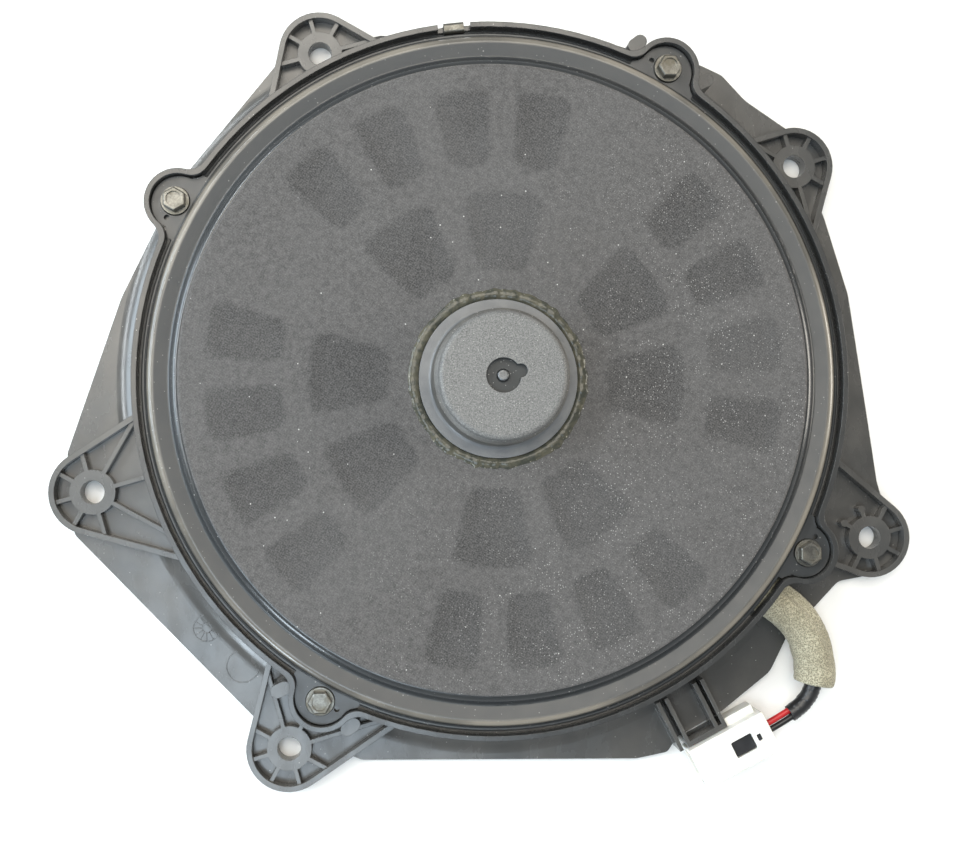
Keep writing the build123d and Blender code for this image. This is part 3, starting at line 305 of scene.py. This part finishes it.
def glue():
    """Amber sealant round the motor cup, wet-looking and uneven."""
    look = Look("glue", roughness=0.16, specular_ior_level=0.3)
    depth = look.cloud(3.4, detail=4, distortion=0.6)
    tone = look.mix(look.between(depth, 0.35, 0.65), (0.042, 0.044, 0.036), (0.085, 0.080, 0.058))
    # Paler specks along the bead's outer edge.
    edge_specks = look.math("MULTIPLY", look.specks(1.1, 0.34, 0.5), look.between(look.radius(), 34.2, 35.2))
    look.set("Base Color", look.mix(look.math("MULTIPLY", edge_specks, 0.6), tone, (0.5, 0.48, 0.40)))
    look.relief(look.cloud(1.6, detail=2), 0.12)
    return look.material


def metal(name, tone, rough, stain=None):
    """Plated or rolled metal with fine grit and an optional stain in patches."""
    look = Look(name, metallic=1.0)
    grit = look.cloud(0.7, detail=4, roughness=0.65)
    patch = look.cloud(5, detail=4)
    darker = tuple(0.6 * c for c in tone)
    surface = look.mix(look.between(grit, 0.3, 0.7), darker, tone)
    if stain:
        surface = look.mix(look.between(patch, 0.45, 0.75, 0, 0.8), surface, stain)
    look.set("Base Color", surface)
    look.set("Roughness", look.between(patch, 0.3, 0.7, rough * 0.8, rough * 1.25))
    look.relief(grit, 0.02, edge=0.2)
    return look.material


def foam(name, pale, deep, cell, depth):
    """Open-cell foam: small pits, lighter walls and a few painted glints off cell windows."""
    look = Look(name, roughness=0.95, specular_ior_level=0.15, sheen_weight=0.15)
    wall = look.cells(cell)
    fine = look.cells(cell * 0.45)
    rough = look.math("ADD", look.math("MULTIPLY", wall, 0.65), look.math("MULTIPLY", fine, 0.35))
    tone = look.mix(look.between(rough, 0.25, 0.75), deep, pale)
    tone = look.mix(look.between(look.cloud(11, detail=4), 0.35, 0.7, 0, 0.45), tone, deep)
    # Painted glints: a few specks much paler than the walls.
    glint = look.specks(cell * 1.8, 0.35 / 1.8, 0.28)
    paler = tuple(min(1.0, 1.7 * c) for c in pale)
    look.set("Base Color", look.mix(look.math("MULTIPLY", glint, 0.75), tone, paler))
    look.relief(rough, depth)
    return look.material


def moulded(name, tone, rough, grain=0.6, depth=0.015, edge=0.25):
    """Moulded plastic or rubber: an even tone, slight handling marks and a fine grain."""
    look = Look(name)
    marks = look.cloud(7, detail=5)
    duller = tuple(0.72 * c for c in tone)
    look.set("Base Color", look.mix(look.between(marks, 0.3, 0.7), duller, tone))
    look.set("Roughness", look.between(marks, 0.25, 0.75, rough * 0.85, min(1.0, rough * 1.2)))
    look.relief(look.cloud(grain, detail=3, roughness=0.6), depth, edge=edge)
    return look.material


def fibrous(name, pale, deep, rough, size=1.1):
    """Pressed paper or resin-dipped cloth: short fibres lying every way."""
    look = Look(name, roughness=rough, specular_ior_level=0.3)
    strands = [
        look.cloud(size, detail=5, roughness=0.7, stretch=stretch)
        for stretch in ((1, 0.25, 1), (0.25, 1, 1))
    ]
    felt = look.math("MAXIMUM", *strands)
    tone = look.mix(look.between(felt, 0.42, 0.68), deep, pale)
    look.set("Base Color", look.mix(look.between(look.cloud(22), 0.4, 0.7, 0, 0.4), tone, deep))
    look.relief(felt, 0.12)
    return look.material


def braided():
    """Flat copper braid of the leads to the voice coil."""
    look = Look("tinsel", metallic=1.0, roughness=0.35)
    strand = look.bands("X", vector=look.turned(38), scale=1.4, distortion=1.0)
    look.set("Base Color", look.mix(strand, (0.30, 0.13, 0.06), (0.78, 0.42, 0.26)))
    look.relief(strand, 0.12)
    return look.material


def wound_copper():
    """Enamelled copper turns of the voice coil."""
    look = Look("coil_wire", metallic=1.0, roughness=0.25)
    turn = look.bands("Z", vector=look.place, scale=0.9)
    look.set("Base Color", look.mix(turn, (0.20, 0.06, 0.02), (0.72, 0.30, 0.13)))
    look.relief(turn, 0.12)
    return look.material


def white_nylon():
    """Natural white nylon of the connector, slightly translucent, with a yellowed tint."""
    look = Look("nylon", specular_ior_level=0.5, subsurface_weight=0.25, subsurface_scale=1.0,
                subsurface_radius=(1.2 * MM, 1.0 * MM, 0.8 * MM))
    marks = look.cloud(6, detail=5)
    look.set("Base Color", look.mix(look.between(marks, 0.3, 0.7), (0.74, 0.72, 0.66), (0.86, 0.85, 0.81)))
    look.set("Roughness", look.between(look.cloud(2.2), 0.3, 0.7, 0.3, 0.46))
    look.relief(look.cloud(0.8, detail=3), 0.012, edge=0.3)
    return look.material


MATERIALS = {
    "bracket_plastic": bracket_plastic(),
    "rim_paint": rim_paint(),
    "cloth": cloth(),
    "cast_grey": cast_grey(),
    "glue": glue(),
    "gasket_foam": foam("gasket_foam", (0.045, 0.045, 0.047), (0.012, 0.012, 0.013), 0.55, 0.12),
    "olive_foam": foam("olive_foam", (0.50, 0.465, 0.345), (0.16, 0.145, 0.098), 0.6, 0.28),
    "nickel": metal("nickel", (0.62, 0.60, 0.56), 0.28),
    "steel": metal("steel", (0.17, 0.176, 0.182), 0.42, stain=(0.12, 0.118, 0.112)),
    "zinc": metal("zinc", (0.20, 0.195, 0.175), 0.42, stain=(0.13, 0.115, 0.085)),
    "tab_metal": metal("tab_metal", (0.70, 0.66, 0.52), 0.3),
    "coil_former": metal("coil_former", (0.58, 0.56, 0.52), 0.4),
    "coil_wire": wound_copper(),
    "tinsel": braided(),
    "nylon": white_nylon(),
    "cone_paper": fibrous("cone_paper", (0.060, 0.059, 0.058), (0.022, 0.022, 0.022), 0.8),
    "spider_cloth": fibrous("spider_cloth", (0.42, 0.27, 0.11), (0.24, 0.14, 0.05), 0.75, size=0.7),
    "board": fibrous("board", (0.23, 0.13, 0.06), (0.13, 0.07, 0.03), 0.55, size=0.8),
    "surround_rubber": moulded("surround_rubber", (0.030, 0.030, 0.031), 0.5, depth=0.03, edge=0),
    "ring_plastic": moulded("ring_plastic", (0.035, 0.035, 0.036), 0.45),
    "lock_plastic": moulded("lock_plastic", (0.020, 0.020, 0.022), 0.4),
    "tube_black": moulded("tube_black", (0.018, 0.018, 0.019), 0.34, grain=1.4, depth=0.09, edge=0),
    "red_insulation": moulded("red_insulation", (0.55, 0.020, 0.022), 0.36, depth=0.01, edge=0),
    "black_insulation": moulded("black_insulation", (0.016, 0.016, 0.017), 0.36, depth=0.01, edge=0),
}


# ---- Meshes ----
def new_mesh(name, vertices, faces, smooth=True):
    """An object from vertices in millimetres and its faces."""
    mesh = bpy.data.meshes.new(name)
    mesh.from_pydata([tuple(c * MM for c in v) for v in vertices], [], faces)
    mesh.validate()
    mesh.polygons.foreach_set("use_smooth", [smooth] * len(mesh.polygons))
    made = bpy.data.objects.new(name, mesh)
    bpy.context.scene.collection.objects.link(made)
    return made


def dress(piece, slot):
    """Gives a piece the material of a slot."""
    piece.data.materials.clear()
    piece.data.materials.append(MATERIALS[slot])
    return piece


def thicken(piece, thickness, offset):
    """Gives a sheet a thickness in millimetres, wholly to one side of it."""
    modifier = piece.modifiers.new("thickness", "SOLIDIFY")
    modifier.thickness = thickness * MM
    modifier.offset = offset


def grid_faces(rows, columns, closed_rows=False, closed_columns=False, start=0):
    """Quads over a grid of vertices that was written row by row."""
    faces = []
    for i in range(rows if closed_rows else rows - 1):
        for j in range(columns if closed_columns else columns - 1):
            a, b = i * columns, (i + 1) % rows * columns
            k = (j + 1) % columns
            faces.append((start + a + j, start + a + k, start + b + k, start + b + j))
    return faces


def smoothstep(value):
    value = np.clip(value, 0.0, 1.0)
    return value * value * (3 - 2 * value)


# ---- Acoustic cloth ----
def window_distance(radius, azimuth):
    """Distance in millimetres outside the nearest window of the metal, negative inside it."""
    nearest = np.full(radius.shape, 1e3)
    for inner, outer, width, steps in (OUTER_WINDOW, INNER_WINDOW):
        for centre in [group + step for group in WINDOW_AZIMUTHS for step in steps]:
            turn = (azimuth - centre + 180.0) % 360.0 - 180.0
            across = np.abs(radius - (inner + outer) / 2) - (outer - inner) / 2 + WINDOW_CORNER_R
            along = (np.abs(np.radians(turn)) - math.radians(width / 2)) * radius + WINDOW_CORNER_R
            corner = np.hypot(np.maximum(across, 0), np.maximum(along, 0))
            inside = np.minimum(np.maximum(across, along), 0)
            nearest = np.minimum(nearest, corner + inside - WINDOW_CORNER_R)
    return nearest


def make_cloth():
    """The cloth over the face: flat on the metal, with a slight sag into each window."""
    outer_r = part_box("acoustic_cloth")[1].x / MM - WOVEN_INSET
    inner_r = CUP_FLANGE_R + 0.6
    rings = np.linspace(inner_r, outer_r, 98)
    azimuths = np.linspace(0, 360, 540, endpoint=False)
    radius, azimuth = np.meshgrid(rings, azimuths, indexing="ij")
    outside = window_distance(radius, azimuth)
    sag = SAG * smoothstep(-outside / SAG_REACH)
    x, y = radius * np.cos(np.radians(azimuth)), radius * np.sin(np.radians(azimuth))
    spots = [Vector((a / RIPPLE_SIZE, b / RIPPLE_SIZE, 0)) for a, b in zip(x.flat, y.flat)]
    ripple = np.array([RIPPLE * noise.noise(spot) for spot in spots])
    top = CLOTH_Z - WOVEN_DROP - sag + ripple.reshape(sag.shape)
    vertices = np.stack([x, y, top], -1).reshape(-1, 3).tolist()
    faces = grid_faces(len(rings), len(azimuths), closed_columns=True)
    piece = new_mesh("acoustic_cloth_woven", vertices, faces)
    piece.data.attributes.new("window", "FLOAT", "POINT")
    share = smoothstep((WINDOW_EDGE - outside) / WINDOW_BLUR).astype(np.float32)
    piece.data.attributes["window"].data.foreach_set("value", share.ravel())
    thicken(piece, WOVEN_T, -1)
    return piece, math.pi * (outer_r ** 2 - inner_r ** 2) * MM ** 2, 2 * outer_r * MM


fabric, fabric_area, fabric_width = make_cloth()
dress(fabric, "cloth")
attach(fabric, "frame")
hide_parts("acoustic_cloth")


# ---- Painted rim ----
def rounded(points, radii):
    """A polyline with its inner corners rounded, as a list of points about 6 degrees apart."""
    path = [points[0]]
    for a, b, c, radius in zip(points, points[1:], points[2:], radii):
        a, b, c = Vector(a), Vector(b), Vector(c)
        to_a, to_c = (a - b).normalized(), (c - b).normalized()
        half = to_a.angle(to_c) / 2
        centre = b + (to_a + to_c).normalized() * (radius / math.sin(half))
        first = b + to_a * (radius / math.tan(half)) - centre
        last = b + to_c * (radius / math.tan(half)) - centre
        sweep = last.angle_signed(first)
        count = max(3, round(abs(math.degrees(sweep)) / 6))
        for k in range(count + 1):
            angle = sweep * k / count
            turned = Vector((first.x * math.cos(angle) - first.y * math.sin(angle),
                             first.x * math.sin(angle) + first.y * math.cos(angle)))
            path.append(tuple(centre + turned))
    return [*path, points[-1]]


def make_rim():
    """Smooth coat of paint over the pressed rim: shoulder, valley, bead and its outer side."""
    path = rounded(RIM_LINE, RIM_BENDS)
    section = []
    for i, point in enumerate(path):
        before, after = Vector(path[max(i - 1, 0)]), Vector(path[min(i + 1, len(path) - 1)])
        along = (after - before).normalized()
        section.append(Vector(point) + Vector((-along.y, along.x)) * (STEEL_T / 2 + PAINT_T))
    turns = 720
    vertices = []
    for i in range(turns):
        angle = 2 * math.pi * i / turns
        spot = Vector((math.cos(angle), math.sin(angle), 0))
        for p in section:
            r = p.x + PAINT_WAVE * noise.noise(spot * 14 + Vector((0, 0, p.x)))
            vertices.append((r * spot.x, r * spot.y, p.y))
    piece = new_mesh("rim_paint_coat", vertices, grid_faces(turns, len(section), closed_rows=True))
    thicken(piece, PAINT_T / 2, 1 if piece.data.polygons[0].normal.z < 0 else -1)
    return piece


rim = dress(make_rim(), "rim_paint")
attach(rim, "frame")


# ---- Sealant round the motor cup ----
def make_bead():
    """A hand-laid ring of sealant: its width and height wander, with blobs where the gun paused."""
    turns, around = 420, 22
    vertices = []
    for i in range(turns):
        angle = 2 * math.pi * i / turns
        spot = Vector((math.cos(angle), math.sin(angle), 0))
        slow, quick = noise.noise(spot * 3.1), noise.noise(spot * 11.0)
        blob = max(0.0, noise.noise(spot * 6.3 + Vector((4, 1, 7)))) ** 2
        wide = SEALANT_WIDE + 0.5 * slow + 0.3 * quick + 1.6 * blob
        tall = SEALANT_TALL + 0.3 * slow + 0.2 * quick + 0.9 * blob
        middle = CUP_FLANGE_R + 0.75 + 0.6 * wide
        for j in range(around):
            turn = 2 * math.pi * j / around
            wobble = 1 + 0.08 * noise.noise(spot * 26 + Vector((0, 0, 2.4 * math.sin(turn))))
            flatter = 1.0 if math.sin(turn) > 0 else 0.3
            r = middle + wide * wobble * math.cos(turn)
            z = FACE_Z + 0.35 + tall * wobble * math.sin(turn) * flatter
            vertices.append((r * spot.x, r * spot.y, z))
    return new_mesh("adhesive_bead_laid", vertices, grid_faces(turns, around, True, True))


bead = dress(make_bead(), "glue")
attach(bead, "frame")
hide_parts("adhesive_bead")


# ---- Surround and spider, as rings of sectors between the frame and the cone ----
def arc_points(start, peak, end, count):
    """Points on the arc through three points of a section."""
    (ax, ay), (bx, by), (cx, cy) = start, peak, end
    d = 2 * (ax * (by - cy) + bx * (cy - ay) + cx * (ay - by))
    squares = [x * x + y * y for x, y in (start, peak, end)]
    ux = (squares[0] * (by - cy) + squares[1] * (cy - ay) + squares[2] * (ay - by)) / d
    uy = (squares[0] * (cx - bx) + squares[1] * (ax - cx) + squares[2] * (bx - ax)) / d
    radius = math.hypot(ax - ux, ay - uy)
    first, last = math.atan2(ay - uy, ax - ux), math.atan2(cy - uy, cx - ux)
    if by < ay and last < first:
        last += 2 * math.pi
    angles = [first + (last - first) * k / count for k in range(count + 1)]
    return [(ux + radius * math.cos(a), uy + radius * math.sin(a)) for a in angles]


def surround_section():
    """Upper side of the rubber: flange, half roll and flange."""
    inner, roll_in, roll_out, outer = SURROUND_R
    valley = ((roll_in + roll_out) / 2, SURROUND_Z - SURROUND_DEPTH)
    roll = arc_points((roll_in, SURROUND_Z), valley, (roll_out, SURROUND_Z), 28)
    return [(inner, SURROUND_Z), ((inner + roll_in) / 2, SURROUND_Z), *roll, (outer, SURROUND_Z)]


def spider_section():
    """Upper side of the spider: a flat collar, its waves and a flat rim."""
    collar, first, last, rim = SPIDER_R
    points = [(collar, SPIDER_Z)]
    count = SPIDER_WAVES * 16
    for k in range(count + 1):
        share = k / count
        wave = -SPIDER_WAVE_H * math.sin(2 * math.pi * SPIDER_WAVES * share)
        points.append((first + (last - first) * share, SPIDER_Z + wave))
    return [*points, (rim, SPIDER_Z)]


def make_flexing(name, section, thickness, sectors, steps, slot, node):
    """A ring of closed sectors, each reaching between the frame and the cone along its own radius."""
    loop = section + [(r, z - thickness) for r, z in reversed(section)]
    span = 2 * math.pi / sectors
    for s in range(sectors):
        vertices = []
        for i in range(steps + 1):
            angle = span * (s + i / steps)
            vertices += [(r * math.cos(angle), r * math.sin(angle), z) for r, z in loop]
        size = len(loop)
        faces = grid_faces(steps + 1, size, closed_columns=True)
        faces.append(tuple(range(size)))
        faces.append(tuple(reversed(range(steps * size, (steps + 1) * size))))
        piece = dress(new_mesh(f"{name}_{s + 1:02d}", vertices, faces), slot)
        for end in piece.data.polygons[-2:]:
            end.use_smooth = False
        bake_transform(piece)
        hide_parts(node)


make_flexing("surround_flexing", surround_section(), SURROUND_T, 24, 8,
             "surround_rubber", "surround")
make_flexing("spider_flexing", spider_section(), SPIDER_T, 12, 12,
             "spider_cloth", "spider")


# ---- Lead ----
def unit_flat(start, end):
    dx, dy = end[0] - start[0], end[1] - start[1]
    return dx / math.hypot(dx, dy), dy / math.hypot(dx, dy)


def beside(route, shift):
    """The route moved sideways in the ground plane by a fixed distance."""
    moved = []
    for i, (x, y, z) in enumerate(route):
        before = unit_flat(route[max(i - 1, 0)], route[max(i, 1)])
        after = unit_flat(route[min(i, len(route) - 2)], route[min(i + 1, len(route) - 1)])
        normal = (-(before[1] + after[1]) / 2, (before[0] + after[0]) / 2)
        scale = shift / (normal[0] ** 2 + normal[1] ** 2)
        moved.append((x + normal[0] * scale, y + normal[1] * scale, z))
    return moved


def spline(name, points, radius=0.0):
    """A smooth curve with those points, in millimetres, as its control points."""
    data = bpy.data.curves.new(name, "CURVE")
    data.dimensions = "3D"
    data.bevel_depth = radius * MM
    data.bevel_resolution = 6
    data.use_fill_caps = True
    line = data.splines.new("NURBS")
    line.points.add(len(points) - 1)
    for point, (x, y, z) in zip(line.points, points):
        point.co = (x * MM, y * MM, z * MM, 1)
    line.order_u = 3
    line.use_endpoint_u = True
    line.resolution_u = 16
    made = bpy.data.objects.new(name, data)
    bpy.context.scene.collection.objects.link(made)
    return made


def points_of(curve):
    """Points along a curve that has no bevel, in millimetres."""
    bpy.context.view_layer.update()
    mesh = bpy.data.meshes.new_from_object(curve)
    points = np.array([v.co for v in mesh.vertices], float) / MM
    bpy.data.meshes.remove(mesh)
    return points


def length_of(points):
    return float(np.linalg.norm(np.diff(points, axis=0), axis=1).sum())


def stretch_of(points, start, end, step):
    """Evenly spaced points of the line between two distances along it."""
    run = np.concatenate([[0], np.cumsum(np.linalg.norm(np.diff(points, axis=0), axis=1))])
    wanted = np.linspace(start, end, max(2, round((end - start) / step)))
    return np.stack([np.interp(wanted, run, points[:, k]) for k in range(3)], -1)


def nearest_run(points, place):
    """How far along the line its nearest point to place is."""
    at = int(np.linalg.norm(points - np.array(place), axis=1).argmin())
    return length_of(points[:at + 1]) if at else 0.0


def sleeve(name, middle, radius_at, core_r, around=56):
    """A closed hollow sleeve along a line, whose outer radius radius_at(run, turn, whole) gives."""
    tangents = np.gradient(middle, axis=0)
    tangents /= np.linalg.norm(tangents, axis=1)[:, None]
    sides = np.cross(tangents, (0, 0, 1))
    sides /= np.linalg.norm(sides, axis=1)[:, None]
    ups = np.cross(sides, tangents)
    run = np.concatenate([[0], np.cumsum(np.linalg.norm(np.diff(middle, axis=0), axis=1))])
    rows = [*range(len(middle)), *reversed(range(len(middle)))]
    vertices = []
    for order, i in enumerate(rows):
        outer = order < len(middle)
        for j in range(around):
            turn = 2 * math.pi * j / around
            radius = radius_at(run[i], turn, run[-1]) if outer else core_r
            place = middle[i] + radius * (math.cos(turn) * sides[i] + math.sin(turn) * ups[i])
            vertices.append(tuple(place))
    return new_mesh(name, vertices, grid_faces(len(rows), around, True, True))


def foam_radius(run, turn, whole):
    """Hand-cut foam: uneven skin, a crease along the inside of the bend and softened ends."""
    spot = Vector((run / 5.5, 1.6 * math.cos(turn), 1.6 * math.sin(turn)))
    uneven = 0.28 * noise.noise(spot) + 0.16 * noise.noise(spot * 4.3)
    inner_side = math.cos(turn - math.pi + 0.75)
    crease = 2.3 * math.exp(-((1 - inner_side) / 0.07)) * smoothstep(1.6 - run / whole * 1.6)
    edge = 0.55 * math.exp(-min(run, whole - run) / 0.5)
    flatter = 0.5 * max(0.0, -math.sin(turn)) ** 2
    return FOAM_R - 0.3 + uneven - float(crease) - edge - flatter


def tape_radius(run, turn, whole):
    """Tape wound on a slant: each turn steps over the last, and it wrinkles inside the bend."""
    lap = (run / 5.2 + turn / (2 * math.pi)) % 1.0
    wrinkle = 0.09 * math.sin(run * 4.1) * max(0.0, math.cos(turn - math.pi)) ** 2
    loose = 0.1 * noise.noise(Vector((run / 2.4, 2 * math.cos(turn), 2 * math.sin(turn))))
    return TAPE_R - 0.2 + 0.16 * lap + wrinkle + loose


lead_line = spline("lead_line", LEAD_ROUTE)
lead_points = points_of(lead_line)
bpy.data.objects.remove(lead_line)

foam_from = nearest_run(lead_points, LEAD_ROUTE[0]) + FOAM_FROM
foam_to = nearest_run(lead_points, LEAD_ROUTE[4]) + FOAM_TO
foam_middle = stretch_of(lead_points, foam_from, foam_to, 0.7)
foam_middle[:, 2] = np.minimum(foam_middle[:, 2], FOAM_TOP_Z)
foam_tube = dress(sleeve("foam_sleeve_cut", foam_middle, foam_radius, FOAM_CORE_R, around=84), "olive_foam")
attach(foam_tube, "frame")
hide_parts("foam_sleeve")

tape_from = nearest_run(lead_points, LEAD_ROUTE[4]) + TAPE_FROM
tape_to = nearest_run(lead_points, LEAD_ROUTE[6]) + TAPE_TO
tape_middle = stretch_of(lead_points, tape_from, tape_to, 0.35)
tape_tube = dress(sleeve("tape_sleeve_wound", tape_middle, tape_radius, TAPE_CORE_R), "tube_black")
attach(tape_tube, "frame")
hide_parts("tape_sleeve")

for colour, side, companions in (
    ("red", -1, [tape_tube, nodes["connector_housing"], nodes["connector_terminals"]]),
    ("black", 1, [nodes["connector_lock"]]),
):
    route = beside(LEAD_ROUTE, side * WIRE_STEP)
    wire = dress(spline(f"wire_{colour}_run", route, WIRE_R), f"{colour}_insulation")
    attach(wire, "frame")
    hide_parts(f"wire_{colour}")


# ---- Braided leads to the voice coil ----
def make_tinsel(name, node):
    """A lead between its tab on the frame and the cone."""
    low, high = (Vector(c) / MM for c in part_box(node))
    cone_end = Vector((low.x + TINSEL_R, high.y - TINSEL_R, 0))
    tab_end = Vector((high.x - TINSEL_R, low.y + TINSEL_R, 0))
    route = [(*cone_end.lerp(tab_end, share).xy, z) for share, z in BRAID_HEIGHTS]
    curve = spline(f"{name}_line", route, TINSEL_R)
    bpy.context.view_layer.update()
    mesh = bpy.data.meshes.new_from_object(curve)
    bpy.data.objects.remove(curve)
    piece = dress(bpy.data.objects.new(name, mesh), "tinsel")
    bpy.context.scene.collection.objects.link(piece)
    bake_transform(piece)
    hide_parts(node)


for polarity in ("positive", "negative"):
    make_tinsel(f"tinsel_{polarity}_braid", f"tinsel_lead_{polarity}")


# ---- Marks that the mould left on the bracket's floor ----
def make_mark(name, centre, rings, spokes=0):
    """Low raised rings round a point of the bracket's floor, with spokes between the last two."""
    vertices, faces = [], []
    middle = Vector((*centre, BRACKET_FLOOR_Z))
    around = 48

    def add_section(along, aside, corners):
        for out, side, z in corners:
            vertices.append(tuple(middle + along * out + aside * side + Vector((0, 0, z))))

    def directions(turn):
        """Outwards and sideways at a share of a whole turn."""
        c, s = math.cos(2 * math.pi * turn), math.sin(2 * math.pi * turn)
        return Vector((c, s, 0)), Vector((-s, c, 0))

    for inner, outer in rings:
        start = len(vertices)
        ring = ((inner, 0, -MARK_ROOT), (inner, 0, MARK_H), (outer, 0, MARK_H), (outer, 0, -MARK_ROOT))
        for k in range(around):
            add_section(*directions(k / around), ring)
        faces += grid_faces(around, 4, True, True, start)
    for k in range(spokes):
        start = len(vertices)
        for r in (rings[0][1] - 0.05, rings[1][0] + 0.05):
            spoke = ((r, -SPOKE_HALF, -MARK_ROOT), (r, -SPOKE_HALF, MARK_H),
                     (r, SPOKE_HALF, MARK_H), (r, SPOKE_HALF, -MARK_ROOT))
            add_section(*directions(k / spokes), spoke)
        faces += grid_faces(2, 4, closed_columns=True, start=start)
        faces += [tuple(start + i for i in range(4)), tuple(start + i for i in (7, 6, 5, 4))]
    piece = dress(new_mesh(name, vertices, faces, smooth=False), "bracket_plastic")
    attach(piece, "frame")


make_mark("ejector_mark", EJECTOR_MARK, [(6.3, 6.75)])
make_mark("mould_dial", MOULD_DIAL, [(1.6, 2.1), (5.1, 5.6)], spokes=12)


# ---- CAD pieces keep their shape and take their slot's material ----
for part in frame["record"]["subparts"]:
    dress(nodes[part["node"]], part["material_slot"])


# ---- Floor, light and camera ----
def plain_paper():
    """Pale backdrop paper."""
    look = Look("paper", roughness=0.7, specular_ior_level=0.2)
    look.set("Base Color", (0.86, 0.86, 0.85, 1))
    return look.material


bpy.ops.mesh.primitive_plane_add(size=PAPER_SIZE * MM, location=(0, 0, -PAPER_DROP * MM))
floor = bpy.context.object
floor.name = "floor"
floor.data.materials.append(plain_paper())


def make_room():
    """A room that is bright at the horizon and darker overhead."""
    world = bpy.data.worlds.new("studio")
    world.use_nodes = True
    tree = world.node_tree
    heading = tree.nodes.new("ShaderNodeTexCoord")
    upright = tree.nodes.new("ShaderNodeMapping")
    upright.inputs["Rotation"].default_value = (0, math.radians(90), 0)
    height = tree.nodes.new("ShaderNodeTexGradient")
    tones = tree.nodes.new("ShaderNodeValToRGB")
    horizon, overhead = tones.color_ramp.elements
    horizon.color = (0.95, 0.98, 1.0, 1)
    overhead.position = 0.7
    overhead.color = (0.26, 0.27, 0.28, 1)
    background = tree.nodes["Background"]
    background.inputs["Strength"].default_value = 0.9
    tree.links.new(heading.outputs["Generated"], upright.inputs["Vector"])
    tree.links.new(upright.outputs["Vector"], height.inputs["Vector"])
    tree.links.new(height.outputs["Fac"], tones.inputs["Fac"])
    tree.links.new(tones.outputs["Color"], background.inputs["Color"])
    bpy.context.scene.world = world


def softbox(name, place, size, power, colour):
    """A rectangular area light of size (width, height) in metres that faces the part."""
    data = bpy.data.lights.new(name, "AREA")
    data.shape = "RECTANGLE"
    data.size, data.size_y = size
    data.energy, data.color = power, colour
    light = bpy.data.objects.new(name, data)
    light.location = place
    light.rotation_euler = (-Vector(place)).to_track_quat("-Z", "Y").to_euler()
    bpy.context.scene.collection.objects.link(light)


def make_camera():
    """The camera at the photograph's viewing angle."""
    back = Vector(CAMERA_BACK).normalized()
    right = Vector(CAMERA_RIGHT)
    right = (right - right.dot(back) * back).normalized()
    data = bpy.data.cameras.new("camera")
    data.sensor_width = CAMERA_SENSOR
    data.lens = CAMERA_LENS
    camera = bpy.data.objects.new("camera", data)
    turn = Matrix((right, back.cross(right), back)).transposed()
    camera.matrix_world = Matrix.LocRotScale(Vector(CAMERA_PLACE), turn, None)
    bpy.context.scene.collection.objects.link(camera)
    bpy.context.scene.camera = camera


make_room()
DAYLIGHT, LAMPLIGHT, PANE_LIGHT = (0.76, 0.89, 1.0), (1.0, 0.94, 0.84), (0.9, 0.96, 1.0)
softbox("ceiling", (-0.1, 0.36, 1.2), (0.9, 0.66), 11.0, LAMPLIGHT)
softbox("sky", (-0.2, -0.34, 1.2), (0.5, 0.42), 4.6, DAYLIGHT)
softbox("window_left", (-1.15, 0.2, 0.5), (0.7, 0.5), 9.5, DAYLIGHT)
softbox("window_low", (-0.7, -0.9, 0.42), (0.25, 0.4), 5.0, DAYLIGHT)
softbox("lamp_right", (1.1, 0.1, 0.45), (0.4, 0.5), 6.0, LAMPLIGHT)
softbox("window_pane", (-0.6, 0.22, 0.66), (0.9, 0.07), 5.0, PANE_LIGHT)
make_camera()
bpy.context.scene.view_settings.view_transform = "Standard"
